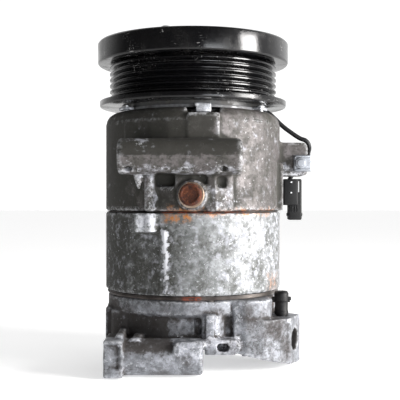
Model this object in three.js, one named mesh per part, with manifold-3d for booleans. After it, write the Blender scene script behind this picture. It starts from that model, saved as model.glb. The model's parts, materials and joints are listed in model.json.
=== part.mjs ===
// Belt-driven scroll compressor for a vehicle's air conditioning, with its electromagnetic clutch.
// Millimetres. +Z runs along the shaft towards the pulley, and Z = 0 is the rear head's flat end face.
// -Y is the side with the two mounting tubes, and +X is the side with the ports and the plug socket.
import * as THREE from "three";
import { mergeVertices } from "three/addons/utils/BufferGeometryUtils.js";
import Module from "manifold-3d";

const wasm = await Module();
wasm.setup();

// ---- Driving dimensions ----
const GAP = 0.3; // left between pieces that touch on the real machine
const FINE = 36; // sides of the large turned surfaces
const MEDIUM = 20; // sides of bearings and seats
const COARSE = 10; // sides of screws, pins and small bores

const BODY_R = 53; // castings
const HEAD_TOP = 28; // rear head's joint face
const SHELL_Z = [30.6, 76.6];
const FRONT_Z = [77.6, 136];
const BORE_R = 43.4; // shell bore
const SPIGOT_R = BORE_R - GAP;
const CHAMBER_R = 26.3; // crank chamber and main bearing seat
const BOLT = { count: 5, pitch: 47.4, shank: 3, hole: 3.25, head: 5, pocket: 5.3, first: 282 };

const ORBIT = 4; // crank throw
const WRAP = { base: 2.38, wall: 3, from: 3.5, to: 14.6, height: 20 };
const FIXED_PLATE_Z = [31, 38];
const ORBIT_PLATE_Z = [58.3, 65.3];
const ORBIT_PLATE_R = 38.6;
const THRUST_Z = [65.6, 68.1];
const PIN_COUNT = 4;
const PIN_PITCH = 30;

const TUBE = { r: 10, bore: 5.2, bevel: 1.2 };
const FRONT_TUBE = { x: [-40.5, 27.3], y: -56, z: 107.7 };
const REAR_TUBE = { x: [-48, 6], y: -54, z: -2 };

const FAR_TUBES = [FRONT_TUBE, REAR_TUBE].map(({ z }) => ({ x: [-22, 22], y: 57, z }));

const PULLEY_Z = [140, 179];
const GROOVES = { count: 5, pitch: 3.56, firstPeak: 145.6, peakR: 50.8, rootR: 47.9 };
const FRICTION_Z = 175;
const BEARING_Z = [150, 170];

const deg = (a) => (a * Math.PI) / 180;
const polar = (r, a) => [r * Math.cos(deg(a)), r * Math.sin(deg(a))];

// ---- Solids ----
function solidOf(geometry) {
  const loose = geometry.index ? geometry.toNonIndexed() : geometry.clone();
  loose.deleteAttribute("normal");
  loose.deleteAttribute("uv");
  const merged = mergeVertices(loose, 1e-4);
  const index = merged.index.array;
  const kept = [];
  for (let i = 0; i < index.length; i += 3) {
    const [a, b, c] = [index[i], index[i + 1], index[i + 2]];
    if (a !== b && b !== c && c !== a) kept.push(a, b, c);
  }
  const build = (triangles) =>
    new wasm.Manifold(
      new wasm.Mesh({
        numProp: 3,
        vertProperties: merged.attributes.position.array,
        triVerts: new Uint32Array(triangles),
      }),
    );
  const made = build(kept);
  return made.volume() > 0 ? made : build(kept.reverse());
}

const join = (first, ...rest) => rest.reduce((whole, piece) => whole.add(piece), first);
const cut = (first, ...rest) => rest.reduce((whole, piece) => whole.subtract(piece), first);

// A turned shape from [radius, height] points, closed on the axis or on itself.
function turnedGeometry(profile, sides) {
  const points = profile.map(([r, z]) => new THREE.Vector2(r, z));
  const last = profile[profile.length - 1];
  if (profile[0][0] > 0 || last[0] > 0) points.push(points[0].clone());
  return new THREE.LatheGeometry(points, sides).rotateX(Math.PI / 2);
}
const turned = (profile, sides = MEDIUM) => solidOf(turnedGeometry(profile, sides));

function ring(inner, outer, z0, z1, sides = MEDIUM) {
  return turned([[inner, z0], [outer, z0], [outer, z1], [inner, z1]], sides);
}

function box(x0, x1, y0, y1, z0, z1) {
  const g = new THREE.BoxGeometry(x1 - x0, y1 - y0, z1 - z0);
  return solidOf(g.translate((x0 + x1) / 2, (y0 + y1) / 2, (z0 + z1) / 2));
}

// A round bar from one point to another.
function bar(from, to, r, sides = COARSE, endR = r) {
  const a = new THREE.Vector3(...from);
  const b = new THREE.Vector3(...to);
  const g = new THREE.CylinderGeometry(endR, r, a.distanceTo(b), sides);
  const up = new THREE.Vector3(0, 1, 0);
  const turn = new THREE.Quaternion().setFromUnitVectors(up, b.clone().sub(a).normalize());
  return solidOf(g.applyQuaternion(turn).translate(...a.add(b).multiplyScalar(0.5).toArray()));
}
const post = (x, y, z0, z1, r, sides = COARSE) => bar([x, y, z0], [x, y, z1], r, sides);

// A flat outline in X and Y, raised from z0 to z1.
function slab(outline, z0, z1, turnGeometry = (g) => g) {
  const drawn = (points) => new THREE.Shape(points.map((p) => new THREE.Vector2(...p)));
  const shape = outline instanceof THREE.Shape ? outline : drawn(outline);
  const g = new THREE.ExtrudeGeometry(shape, { depth: z1 - z0, bevelEnabled: false, curveSegments: 2 });
  return solidOf(turnGeometry(g.translate(0, 0, z0)));
}

// A rectangle with round corners.
function roundRect(x0, x1, y0, y1, r) {
  const s = new THREE.Shape();
  s.absarc(x1 - r, y1 - r, r, 0, Math.PI / 2);
  s.absarc(x0 + r, y1 - r, r, Math.PI / 2, Math.PI);
  s.absarc(x0 + r, y0 + r, r, Math.PI, 1.5 * Math.PI);
  s.absarc(x1 - r, y0 + r, r, 1.5 * Math.PI, 2 * Math.PI);
  return s;
}

// Part of a flat ring between two angles.
function arcBand(inner, outer, from, to) {
  const s = new THREE.Shape();
  s.absarc(0, 0, outer, deg(from), deg(to), false);
  s.absarc(0, 0, inner, deg(to), deg(from), true);
  return s;
}

// A block whose outline in X and Z has round corners, from y0 to y1.
function faceBlock(x0, x1, z0, z1, y0, y1, r) {
  const stand = (g) => g.rotateX(Math.PI / 2);
  return slab(roundRect(x0, x1, z0, z1, r), -y1, -y0, stand);
}

// A bored boss along X with bevelled ends.
function mountTube({ x: [x0, x1], y, z }) {
  const { r, bevel } = TUBE;
  const profile = [[0, x0], [r - bevel, x0], [r, x0 + bevel], [r, x1 - bevel], [r - bevel, x1], [0, x1]];
  const g = turnedGeometry(profile, 20).rotateY(Math.PI / 2).translate(0, y, z);
  return solidOf(g);
}
const tubeBore = ({ x: [x0, x1], y, z }) => bar([x0 - 1, y, z], [x1 + 1, y, z], TUBE.bore, 10);

const boltAngles = Array.from({ length: BOLT.count }, (_, i) => BOLT.first + (360 / BOLT.count) * i);
const boltHoles = (z0, z1) => boltAngles.map((a) => post(...polar(BOLT.pitch, a), z0, z1, BOLT.hole));

// ---- Materials ----
const finish = (color, roughness, metalness) =>
  new THREE.MeshStandardMaterial({ color, roughness, metalness });
const CAST = finish(0x9a9c9c, 0.7, 0.6);
const BLACK_PAINT = finish(0x15151a, 0.3, 0.3);
const STEEL = finish(0xa9adb2, 0.35, 0.9);
const RACE = finish(0xc4c8cc, 0.2, 1);
const COPPER = finish(0xb06a3c, 0.4, 0.9);
const RUST = finish(0x6a3218, 0.9, 0.2);
const PLASTIC = finish(0x101114, 0.5, 0);
const SEAL = finish(0x2a1d18, 0.7, 0);
const ALLOY = finish(0xb9bcbf, 0.4, 0.8);

const compressor = new THREE.Group();
const assemblies = {};
for (const name of ["casing", "clutch", "crank", "scrolls", "fittings"]) {
  assemblies[name] = new THREE.Group();
  compressor.add(assemblies[name]);
}

function place(assembly, name, solid, material) {
  const { vertProperties, triVerts } = solid.getMesh();
  const g = new THREE.BufferGeometry();
  g.setAttribute("position", new THREE.BufferAttribute(vertProperties, 3));
  g.setIndex(new THREE.BufferAttribute(triVerts, 1));
  g.computeVertexNormals();
  const mesh = new THREE.Mesh(g, material);
  mesh.name = name;
  assemblies[assembly].add(mesh);
}

// ---- Casing ----
const NOSE_R = 17.2;
const SHOULDER_R = 7.2;
const PLUG = { x: -0.5, z: 86.8, head: 6.2, boss: 8.6, lean: 12, tip: 5 };
const NOTCH = { x: [-3, 15.4], floor: 132.2 };
const RIB = { x: -23.6, y: -50.4, r: 3 };
const LUG = { x: [-32, -21], z: [66, SHELL_Z[1]] };
const TUBE_WEB = { below: 8.2, above: 8.4 }; // the web that joins the front tube to the drum
const PARTING_HALF = 0.4;
const RAISED_PANEL = { from: 223.5, to: 266.6, z: [112, 129.5], proud: 0.8 };
const WEB_POCKET = { x: [-20.6, -9.4], z: [91.4, 98.6] };
const CORE_HOLE_R = 2.3;
const BOSS = { x: [44, 69.7], y: [-7.5, 12.5], z: [98.3, 118.7] };

// Points along the plug's axis, which leans away from -Y.
function plugPoint(along) {
  const out = new THREE.Vector3(-Math.sin(deg(PLUG.lean)), -1, Math.sin(deg(PLUG.tip))).normalize();
  return [PLUG.x + 1.6 + out.x * along, -50 + out.y * along, PLUG.z - 0.8 + out.z * along];
}

function frontHousing() {
  const round = [];
  for (let a = 0; a <= 90; a += 22.5) {
    const [dx, dz] = polar(SHOULDER_R, a);
    round.push([BODY_R - SHOULDER_R + dx, FRONT_Z[1] - SHOULDER_R + dz]);
  }
  const body = turned(
    [
      [0, THRUST_Z[1] + GAP], [SPIGOT_R, THRUST_Z[1] + GAP], [SPIGOT_R, FRONT_Z[0]], [BODY_R, FRONT_Z[0]],
      ...round, [20, FRONT_Z[1]], [0, FRONT_Z[1]],
    ],
    FINE,
  );
  const nose = turned([[0, 130], [20, 130], [20, BEARING_Z[0] - GAP], [NOSE_R, BEARING_Z[0] - GAP],
    [NOSE_R, 170], [15.4, 170], [15.4, 172.1], [NOSE_R, 172.1], [NOSE_R, 173.2], [16.4, 174], [0, 174]]);
  const bores = turned([[0, 60], [CHAMBER_R, 60], [CHAMBER_R, 107.6], [13.3, 107.6], [13.3, 137.4],
    [10, 137.4], [10, 140], [13.5, 140], [13.5, 180], [0, 180]]);
  const { x: tubeX, y: tubeY, z: tubeZ } = FRONT_TUBE;
  const webOutline = [[-37, -57], [24, -57], [26, -44], [-37, -36]];
  const tubeWeb = slab(webOutline, tubeZ - TUBE_WEB.below, tubeZ + TUBE_WEB.above);
  const partingY = tubeY - TUBE.r - 0.5;
  const parting = box(tubeX[0] + 1, tubeX[1] - 1, partingY, -60, tubeZ - PARTING_HALF, tubeZ + PARTING_HALF);
  const pad = box(NOTCH.x[0] + 0.7, NOTCH.x[1] - 0.2, -54.3, -44, 112, NOTCH.floor + 4);
  const { from, to, z: panelZ, proud } = RAISED_PANEL;
  const panel = slab(arcBand(50, BODY_R + proud, from, to), ...panelZ);
  const drip = bar([-29.9, -51.2, 101], [-29.6, -50.6, 90], 3.6, COARSE, 1);
  const boltRib = post(RIB.x, RIB.y, FRONT_Z[0], 104, RIB.r);
  const belowSeam = box(-30, 30, -75, -40, 50, FRONT_Z[0]);
  const plugBoss = cut(bar(plugPoint(-6), plugPoint(6.4), PLUG.boss + 1.2, 20, PLUG.boss), belowSeam);
  const gusset = slab([[8.4, -55], [13, -55.6], [22.5, -51], [24, -44], [8.4, -44]], FRONT_Z[0], 104);
  const gussetPocket = box(13.4, 19, -60, -50.6, 90.5, 97.2);
  const sideRib = box(48, 54, -15.5, -10.5, FRONT_Z[0], 106);
  const sideBoss = join(
    faceBlock(BOSS.x[0], BOSS.x[1], BOSS.z[0], BOSS.z[1], BOSS.y[0], BOSS.y[1], 3.2),
    box(40, 54.6, -4, 9, 88, 100),
  );
  const farTube = FAR_TUBES[0];
  const farWeb = box(-19, 19, 40, 57, farTube.z - 8, farTube.z + 8);
  const whole = join(
    body, nose, tubeWeb, mountTube(FRONT_TUBE), parting, pad, panel, drip, boltRib, plugBoss, gusset,
    sideRib, sideBoss, mountTube(farTube), farWeb,
  );
  return cut(
    whole,
    bores,
    box(...NOTCH.x, -60, -36, NOTCH.floor, 140),
    box(...WEB_POCKET.x, -60, -45.5, ...WEB_POCKET.z),
    gussetPocket,
    tubeBore(FRONT_TUBE),
    tubeBore(farTube),
    ...[-34.4, 17.2].map((x) => bar([x, -66, 97], [x, -60, 102.4], CORE_HOLE_R, 8)),
    bar(plugPoint(-4.5), plugPoint(8), 4.3),
    bar([65, BOSS.y[0] - 1, 106], [65, BOSS.y[0] + 9, 106], 2.1, 10),
    bar([43, 3, 139.4], [50.4, 3, 134.4], 2.1),
    bar([50, 3, 134.8], [57, 2.6, 128], 2.1),
    ...coilScrewAngles.map((a) => post(...polar(COIL_SCREW_R, a), 128, 140, 2.1, 10)),
    ...boltHoles(70, 93),
    ...pinPlaces().map(([x, y]) => post(x, y, 60, 77, 2.3, 10)),
  );
}

const SUCTION = { z: 54, face: 60, bore: 8, boss: 13.5, pad: 18 };
const PANEL_Z = [31, LUG.z[0] - 0.6];

function shell() {
  const wall = turned(
    [[0, SHELL_Z[0]], [52.6, SHELL_Z[0]], [BODY_R, 31.6], [BODY_R, SHELL_Z[1]], [0, SHELL_Z[1]]],
    FINE,
  );
  const lug = join(
    faceBlock(...LUG.x, ...LUG.z, -51.6, -42, 0.8),
    post(RIB.x, RIB.y, LUG.z[0], LUG.z[1], RIB.r),
  );
  const ridge = bar([-15.4, -49.4, LUG.z[0] + 1], [-14.2, -50.6, 33], 2.6, COARSE, 0.9);
  const panel = slab([[-33.6, -40.2], [-17.2, -49.5], [-24, -60], [-46, -50]], ...PANEL_Z);
  const { z, face, bore, boss, pad } = SUCTION;
  const suction = join(
    bar([0, 40, z], [0, face, z], boss, 20),
    box(-pad, pad, 46, face - 2, z - 8, z + 8),
  );
  const trimmed = join(cut(wall, panel), lug, ridge);
  return cut(
    join(trimmed, suction),
    bar([0, 30, z], [0, face + 2, z], bore, 20),
    post(0, 0, 20, 80, BORE_R, FINE),
    ...boltHoles(25, 80),
    bar([-13.5, face + 2, z], [-13.5, 50, z], 2.6, 10),
  );
}

const SWITCH = { x: 51.8, y: -25 };
const PORT = { turn: -23, face: 65.8, z: 3.3, bore: 6.3, along: -6 };

function portFrame(along, out) {
  const n = polar(1, PORT.turn);
  return [n[0] * out - n[1] * along, n[1] * out + n[0] * along];
}

// The port side's lower face, which falls away from the middle towards the port.
const UNDERSIDE = { x: [23, 60], high: -1.2, low: -11 };

function rearHead() {
  const body = turned(
    [
      [0, 0], [47, 0], [48.6, 1.6], [48.6, 18], [51.4, 20], [51.4, HEAD_TOP],
      [SPIGOT_R, HEAD_TOP], [SPIGOT_R, 30.6], [0, 30.6],
    ],
    FINE,
  );
  const lobes = boltAngles.map((a) => post(...polar(45.6, a), 0, 20, 8.2, 14));
  const portBlock = slab(
    [
      portFrame(-16, 30), portFrame(-16, 58), portFrame(-13, PORT.face), portFrame(7, PORT.face),
      portFrame(12, 52), portFrame(14, 30),
    ],
    -11, 16.5,
  );
  const portLobe = slab(
    [[22, -40], [23, -47.5], [30, -49], [40, -47], [50, -42], [56, -36], [56, -20], [40, -10], [22, -20]],
    UNDERSIDE.low, 16.5,
  );
  const shoulderLobe = slab(
    [[22, -40], [23, -47.5], [30, -49], [38, -47], [44, -41.5], [45.4, -36], [40, -10], [22, -20]],
    10, HEAD_TOP,
  );
  const sideWeb = box(-51.3, -40, -22, 8, 0, 21);
  const lip = faceBlock(-9, 26.4, -0.9, 7.6, -56.2, -42, 3.6);
  const lipEnd = faceBlock(-10, 5.6, 0.4, 7.8, -64.3, -50, 3.4);
  const centreRib = box(7.4, 12, -54.6, -44, 4, 21);
  const centreSlot = box(1.4, 5.2, -60, -46.4, 9.2, 18.6);
  const tubeWeb = slab([[-45, -58], [4, -58], [4, -44], [-10, -40], [-45, -24]], -9, 6);
  const endBlock = box(-47.8, -37.4, -64.4, -38, -11.8, 8.4);
  const endRecess = box(-49, -39, -66, -63, -7, 6.6);
  const endRib = box(-41.6, -38, -58, -30, 6, 10.4);
  const midRib = box(-33.2, -28.4, -58, -38, 2, 8.4);
  const farTube = FAR_TUBES[1];
  const farWeb = box(-19, 19, 38, 57, -10, 8);
  const whole = join(
    body, ...lobes, portBlock, portLobe, shoulderLobe, sideWeb, lip, lipEnd, centreRib, tubeWeb, endBlock,
    endRib, midRib,
    mountTube(REAR_TUBE), mountTube(farTube), farWeb,
  );
  const { low, high, x: [x0, x1] } = UNDERSIDE;
  const slope = [[x0, high], [x1, low], [x1, low - 10], [x0 - 2, low - 10], [x0 - 2, high]];
  const underside = slab(slope, 8, 60, (g) => g.rotateX(Math.PI / 2));
  const mouth = (out) => [...portFrame(PORT.along + 3, out), PORT.z];
  return cut(
    whole,
    post(0, 0, 9, 40, 36, 28),
    centreSlot,
    endRecess,
    underside,
    tubeBore(REAR_TUBE),
    tubeBore(farTube),
    bar(mouth(PORT.face + 2), mouth(38), PORT.bore, 20),
    bar(mouth(42), [...portFrame(PORT.along + 3, 31), 16], 4.2),
    faceBlock(13.4, 20.2, 1, 5.4, -60, -49, 2),
    post(SWITCH.x, SWITCH.y, 6, 30, 3.3, 10),
    post(SWITCH.x, SWITCH.y, 16.5, 40, 6.2, 14),
    ...boltAngles.map((a) => post(...polar(BOLT.pitch, a), -1, 12.6, BOLT.pocket)),
    ...boltHoles(0, 35),
  );
}

function throughBolt(angle) {
  const [x, y] = polar(BOLT.pitch, angle);
  const head = turned([[0, 5.4], [4.4, 5.4], [BOLT.head, 6], [BOLT.head, 12.3], [0, 12.3]], COARSE);
  const whole = join(head, post(0, 0, 12, 92, BOLT.shank, 10));
  const key = cut(whole, post(0, 0, 5, 8.6, 2.9, 6));
  return moved(key, x, y);
}

// A solid carried sideways, made again from its triangles.
function moved(solid, x, y, z = 0) {
  const { vertProperties, triVerts } = solid.getMesh();
  const g = new THREE.BufferGeometry();
  g.setAttribute("position", new THREE.BufferAttribute(vertProperties, 3));
  g.setIndex(new THREE.BufferAttribute(triVerts, 1));
  return solidOf(g.translate(x, y, z));
}

// ---- Clutch and pulley ----
const COIL_R = [30, 41.8];
const COIL_SCREW_R = 45.4;
const coilTabAngles = [31, 91, 211, 277, 331];
const coilScrewAngles = [91, 211, 331];

function pulley() {
  const { count, pitch, firstPeak, peakR, rootR } = GROOVES;
  const ribs = [];
  for (let i = 0; i <= count; i++) {
    const z = firstPeak + pitch * i;
    ribs.push([peakR, z]);
    if (i < count) ribs.push([rootR, z + pitch / 2]);
  }
  return turned(
    [
      [43.6, PULLEY_Z[0]], [56.4, PULLEY_Z[0]], [56.8, PULLEY_Z[0] + 0.7], [56.8, 143.6], [50.4, 144.1],
      ...ribs, [50.4, 165], [58, 165.8], [58, PULLEY_Z[1] - 1], [57, PULLEY_Z[1]], [52.5, PULLEY_Z[1]],
      [52, FRICTION_Z],
      [25.3, FRICTION_Z], [25.3, BEARING_Z[1] + 2.4], [26.3, BEARING_Z[1] + 2.4], [26.3, BEARING_Z[1] + 0.4],
      [25.3, BEARING_Z[1] + 0.4], [25.3, BEARING_Z[0]], [24, BEARING_Z[0] - GAP], [24, 147], [28.4, 147],
      [28.4, 166.5], [43.6, 166.5],
    ],
    32,
  );
}

// A ball bearing's two races and its caged balls, between radii and heights.
function bearing(inner, outer, [z0, z1], balls) {
  const mid = (inner + outer) / 2;
  const half = (z1 - z0) / 2;
  const r = (outer - inner) * 0.27;
  const z = z0 + half;
  const lip = r * 0.55;
  const groove = (side) => {
    const [edge, floor] = [mid + side * lip, mid + side * (r + 0.45)];
    return [
      [edge, z0], [edge, z - 0.9 * r], [floor, z - 0.35 * r], [floor, z + 0.35 * r], [edge, z + 0.9 * r],
      [edge, z1],
    ];
  };
  const outerRace = turned([...groove(1), [outer, z1], [outer, z0]]);
  const innerRace = turned([[inner, z0], ...groove(-1), [inner, z1]]);
  let cage = ring(mid - lip + 0.45, mid + lip - 0.45, z - 0.45 * r, z + 0.45 * r);
  for (let i = 0; i < balls; i++) {
    const g = new THREE.SphereGeometry(r, 6, 4).translate(...polar(mid, (360 / balls) * i), z);
    cage = cage.add(solidOf(g));
  }
  return { outerRace, innerRace, cage };
}

function coilHousing() {
  const channel = turned([[COIL_R[0], 137.6], [COIL_R[1], 137.6], [COIL_R[1], 163], [39.6, 163], [39.6, 141],
    [32.2, 141], [32.2, 163], [COIL_R[0], 163]], 20);
  let plate = ring(22.5, 43, FRONT_Z[1] + GAP, 138, 20);
  for (const a of coilTabAngles) {
    const g = new THREE.BoxGeometry(9, 9, 138 - FRONT_Z[1] - GAP).rotateZ(deg(a));
    plate = plate.add(solidOf(g.translate(...polar(43.8, a), (138 + FRONT_Z[1] + GAP) / 2)));
  }
  const tongue = box(2, 10.5, -48.2, -41, NOTCH.floor + 0.6, 138);
  const lead = post(43.2, 3, 137, 139.6, 2.2, 8);
  const holes = coilScrewAngles.map((a) => post(...polar(COIL_SCREW_R, a), 130, 140, 2.1, 10));
  return cut(join(channel, plate, tongue), lead, ...holes);
}

function coilScrew(angle) {
  const solid = join(post(0, 0, 138.3, 139.6, 2.7, 10), post(0, 0, 129, 138.4, 1.8, 8));
  return moved(cut(solid, box(-3, 3, -0.4, 0.4, 139.1, 141)), ...polar(COIL_SCREW_R, angle));
}

const ARMATURE_Z = [FRICTION_Z + 0.5, FRICTION_Z + 4];
const HUB_PLATE_Z = [ARMATURE_Z[1] + 1.3, ARMATURE_Z[1] + 4.3];
const ARM_R = 31; // hub rivets
const RIVET_R = 39; // armature rivets
const SPRING_REACH = 75; // degrees from a hub rivet to its armature rivet
const SPRING_STARTS = [0, 120, 240];
const ARM_SEAT = 2.2;
const RIVET_SEAT = 2.4;

function armaturePlate() {
  const plate = ring(26, 49.5, ...ARMATURE_Z, 32);
  const slots = SPRING_STARTS.map((a) => {
    const s = new THREE.Shape();
    s.absarc(0, 0, 36.6, deg(a + 12), deg(a + 48), false);
    s.absarc(0, 0, 34.2, deg(a + 48), deg(a + 12), true);
    return slab(s, 170, 190);
  });
  const seatPlaces = SPRING_STARTS.map((a) => polar(RIVET_R, a + SPRING_REACH));
  const rivetSeats = seatPlaces.map(([x, y]) => post(x, y, 170, 190, RIVET_SEAT, 8));
  return cut(plate, ...slots, ...rivetSeats);
}

function clutchHub() {
  const sleeve = turned([[7.3, 160], [11.5, 160], [11.5, HUB_PLATE_Z[1]], [7.3, HUB_PLATE_Z[1]]], 20);
  const arms = new THREE.Shape();
  for (const a of SPRING_STARTS) {
    arms.absarc(...polar(ARM_R, a), 6, deg(a - 60), deg(a + 60));
    arms.absarc(0, 0, 20, deg(a + 38), deg(a + 82));
  }
  const plate = slab(arms, ...HUB_PLATE_Z);
  const rivetSeats = SPRING_STARTS.map((a) => post(...polar(ARM_R, a), 170, 190, ARM_SEAT, 8));
  return cut(join(plate, sleeve), post(0, 0, 150, 200, 7.3, 20), ...rivetSeats);
}

// A thin curved strip from a hub arm to the armature's rivet, and the rivet at each end.
function leafSpring(start) {
  const strip = new THREE.Shape();
  strip.absarc(0, 0, 41.4, deg(start - 6), deg(start + 80), false);
  strip.absarc(0, 0, 36.6, deg(start + 80), deg(start + 24), true);
  strip.lineTo(...polar(27.6, start + 8));
  strip.lineTo(...polar(27.6, start - 8));
  return cut(
    slab(strip, ARMATURE_Z[1] + 0.4, ARMATURE_Z[1] + 0.9),
    post(...polar(ARM_R, start), 170, 190, ARM_SEAT, 8),
    post(...polar(RIVET_R, start + SPRING_REACH), 170, 190, RIVET_SEAT, 8),
  );
}

function springRivet(start) {
  const top = HUB_PLATE_Z[1];
  const solid = join(
    post(0, 0, ARMATURE_Z[1] + 0.03, top + 0.4, 1.9, 8),
    turned([[0, top + GAP], [3.3, top + GAP], [2.6, top + 1.6], [0, top + 1.9]], 8),
  );
  return moved(solid, ...polar(ARM_R, start));
}

// ---- Crank ----
function shaft() {
  const round = turned(
    [[0, 88], [15.5, 88], [16.2, 88.7], [16.2, 91.7], [12.2, 91.7], [12.2, 110], [8.2, 112], [8.2, 152],
      [7, 153], [7, 175.4], [6.4, 176], [0, 176]],
    MEDIUM,
  );
  return cut(join(round, post(ORBIT, 0, 66.4, 89, 4, 14)), post(0, 0, 156, 180, 3.4, 10));
}

function counterweight() {
  const plate = new THREE.Shape();
  plate.absarc(0, 0, 24.4, deg(100), deg(260), false);
  plate.absarc(ORBIT, 0, 9, deg(270), deg(450), false);
  return cut(slab(plate, 80.2, 87.6), post(ORBIT, 0, 70, 95, 4.3, 14));
}

// ---- Scrolls ----
// One flank of the spiral wall: an involute of the base circle, set off by half the wall.
function flank(offset, turnBy) {
  const points = [];
  const steps = Math.round((WRAP.to - WRAP.from) / deg(13));
  for (let i = 0; i <= steps; i++) {
    const a = WRAP.from + ((WRAP.to - WRAP.from) * i) / steps;
    const roll = a - offset / WRAP.base;
    const x = WRAP.base * (Math.cos(a) + roll * Math.sin(a));
    const y = WRAP.base * (Math.sin(a) - roll * Math.cos(a));
    points.push([x * Math.cos(turnBy) - y * Math.sin(turnBy), x * Math.sin(turnBy) + y * Math.cos(turnBy)]);
  }
  return points;
}

function wrap(z0, z1, turnBy) {
  return slab([...flank(-WRAP.wall / 2, turnBy), ...flank(WRAP.wall / 2, turnBy).reverse()], z0, z1);
}

const pinPlaces = () => Array.from({ length: PIN_COUNT }, (_, i) => polar(PIN_PITCH, 45 + 90 * i));

function fixedScroll() {
  const plate = turned([[0, FIXED_PLATE_Z[0]], [SPIGOT_R, FIXED_PLATE_Z[0]], [SPIGOT_R, FIXED_PLATE_Z[1]],
    [0, FIXED_PLATE_Z[1]]], 32);
  const spiral = wrap(FIXED_PLATE_Z[1] - 0.5, FIXED_PLATE_Z[1] + WRAP.height, 0);
  return cut(join(plate, spiral), post(0, 0, 20, 50, 3.6, 10), post(-20, 0, 20, 36, 1.7, 8));
}

function orbitingScroll() {
  const [low, high] = ORBIT_PLATE_Z;
  const profile = [
    [0, low], [ORBIT_PLATE_R, low], [ORBIT_PLATE_R, high], [15, high], [15, 79], [12, 79], [12, high],
    [0, high],
  ];
  const plate = turned(profile, 28);
  const spiral = wrap(ORBIT_PLATE_Z[0] - WRAP.height, ORBIT_PLATE_Z[0] + 0.5, Math.PI);
  const pockets = pinPlaces().map(([x, y]) => post(x, y, 61.3, 70, 7.7, 10));
  return moved(cut(join(plate, spiral), ...pockets), ORBIT, 0);
}

function reedRetainer() {
  const side = [[-24, 29.9], [-17, 29.9], [-6, 29], [7, 26.4], [7, 24.6], [-6, 27.2], [-17, 28], [-24, 28]];
  return cut(
    slab(side, -5, 5, (g) => g.rotateX(Math.PI / 2)),
    post(-20, 0, 20, 40, 2.3, 8),
  );
}

// ---- Fittings ----
const SOCKET = { y: [-5, 5], mouth: 13 };
const LEAD_R = 1.5;

function connector() {
  const whole = join(
    faceBlock(55.3, 63.8, 80.6, 96.6, ...SOCKET.y, 0.8),
    faceBlock(58.2, 66.4, 71.6, 96.6, SOCKET.y[0] + 0.8, SOCKET.y[1] - 0.8, 1.4),
    box(57.7, 66.9, -3, 3, 74.4, 76.2),
  );
  return cut(whole, box(59.8, 64.8, -2.6, 2.6, 65, 71.6 + SOCKET.mouth));
}

function coilLead() {
  const route = [
    [43.2, 3, 138.6], [45.8, 3, 137.9], [50, 3, 134.6], [54.4, 2.6, 130.2], [60.5, 2.2, 125.4],
    [66, 2, 121.8],
    [70, 2, 120], [71.8, 3, 116.6], [71.7, 6.4, 113], [71.9, 10.6, 110], [70.8, 14.4, 107.4],
    [67, 15.8, 103.6],
    [62.6, 14.8, 99.4], [60.4, 12, 95.4], [60, 8.8, 92.6], [60, 6.6, 91.4],
  ];
  const path = new THREE.CatmullRomCurve3(route.map((p) => new THREE.Vector3(...p)), false, "centripetal");
  const section = new THREE.Shape();
  section.absarc(0, 0, LEAD_R, 0, 2 * Math.PI);
  const g = new THREE.ExtrudeGeometry(section, { steps: 30, extrudePath: path, curveSegments: 4 });
  return solidOf(g);
}

function thermalSwitch() {
  const can = turned([[0, 17], [4.2, 17], [4.2, 29.6], [3.4, 30.8], [0, 30.8]], 14);
  const lugs = box(-5.6, 5.6, -1.4, 1.4, 25.4, 27.4);
  return moved(join(can, lugs, post(0, 0, 10, 18, 3, 10)), SWITCH.x, SWITCH.y);
}

function clip() {
  const y = BOSS.y[0] - GAP;
  return cut(faceBlock(60.8, 71.4, 101, 111, y - 1.6, y, 1.2), bar([65, -20, 106], [65, 0, 106], 2.1, 10));
}

// ---- Assembly ----
place("casing", "front_housing", frontHousing(), CAST);
place("casing", "shell", shell(), CAST);
place("casing", "rear_head", rearHead(), CAST);
const frontGasket = ring(BORE_R + 0.2, 52.5, SHELL_Z[1] + GAP, FRONT_Z[0] - GAP, FINE);
place("casing", "front_gasket", cut(frontGasket, ...boltHoles(70, 80)), SEAL);
const rearGasket = ring(BORE_R + 0.2, 52, HEAD_TOP + GAP, SHELL_Z[0] - GAP, FINE);
place("casing", "rear_gasket", cut(rearGasket, ...boltHoles(25, 35)), SEAL);
boltAngles.forEach((a, i) => place("casing", `through_bolt_${i + 1}`, throughBolt(a), STEEL));

place("clutch", "pulley", pulley(), BLACK_PAINT);
const rotorBearing = bearing(NOSE_R + GAP, 25, BEARING_Z, 8);
place("clutch", "pulley_bearing_outer", rotorBearing.outerRace, RACE);
place("clutch", "pulley_bearing_inner", rotorBearing.innerRace, RACE);
place("clutch", "pulley_bearing_balls", rotorBearing.cage, STEEL);
const snapRing = cut(ring(15.7, 19.4, 170.4, 171.8), box(0, 30, -2, 2, 160, 180));
place("clutch", "bearing_snap_ring", snapRing, STEEL);
place("clutch", "coil_housing", coilHousing(), STEEL);
place("clutch", "clutch_coil", ring(32.5, 39.3, 141.3, 162), COPPER);
coilScrewAngles.forEach((a, i) => place("clutch", `coil_screw_${i + 1}`, coilScrew(a), STEEL));
place("clutch", "armature_plate", armaturePlate(), STEEL);
place("clutch", "clutch_hub", clutchHub(), STEEL);
SPRING_STARTS.forEach((start, i) => {
  place("clutch", `leaf_spring_${i + 1}`, leafSpring(start), STEEL);
  place("clutch", `spring_rivet_${i + 1}`, springRivet(start), STEEL);
});
const boltHead = post(0, 0, HUB_PLATE_Z[1] + GAP, HUB_PLATE_Z[1] + 4, 6, 6);
place("clutch", "hub_bolt", join(boltHead, post(0, 0, 158, HUB_PLATE_Z[1] + 1, 3, 10)), STEEL);

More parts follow.
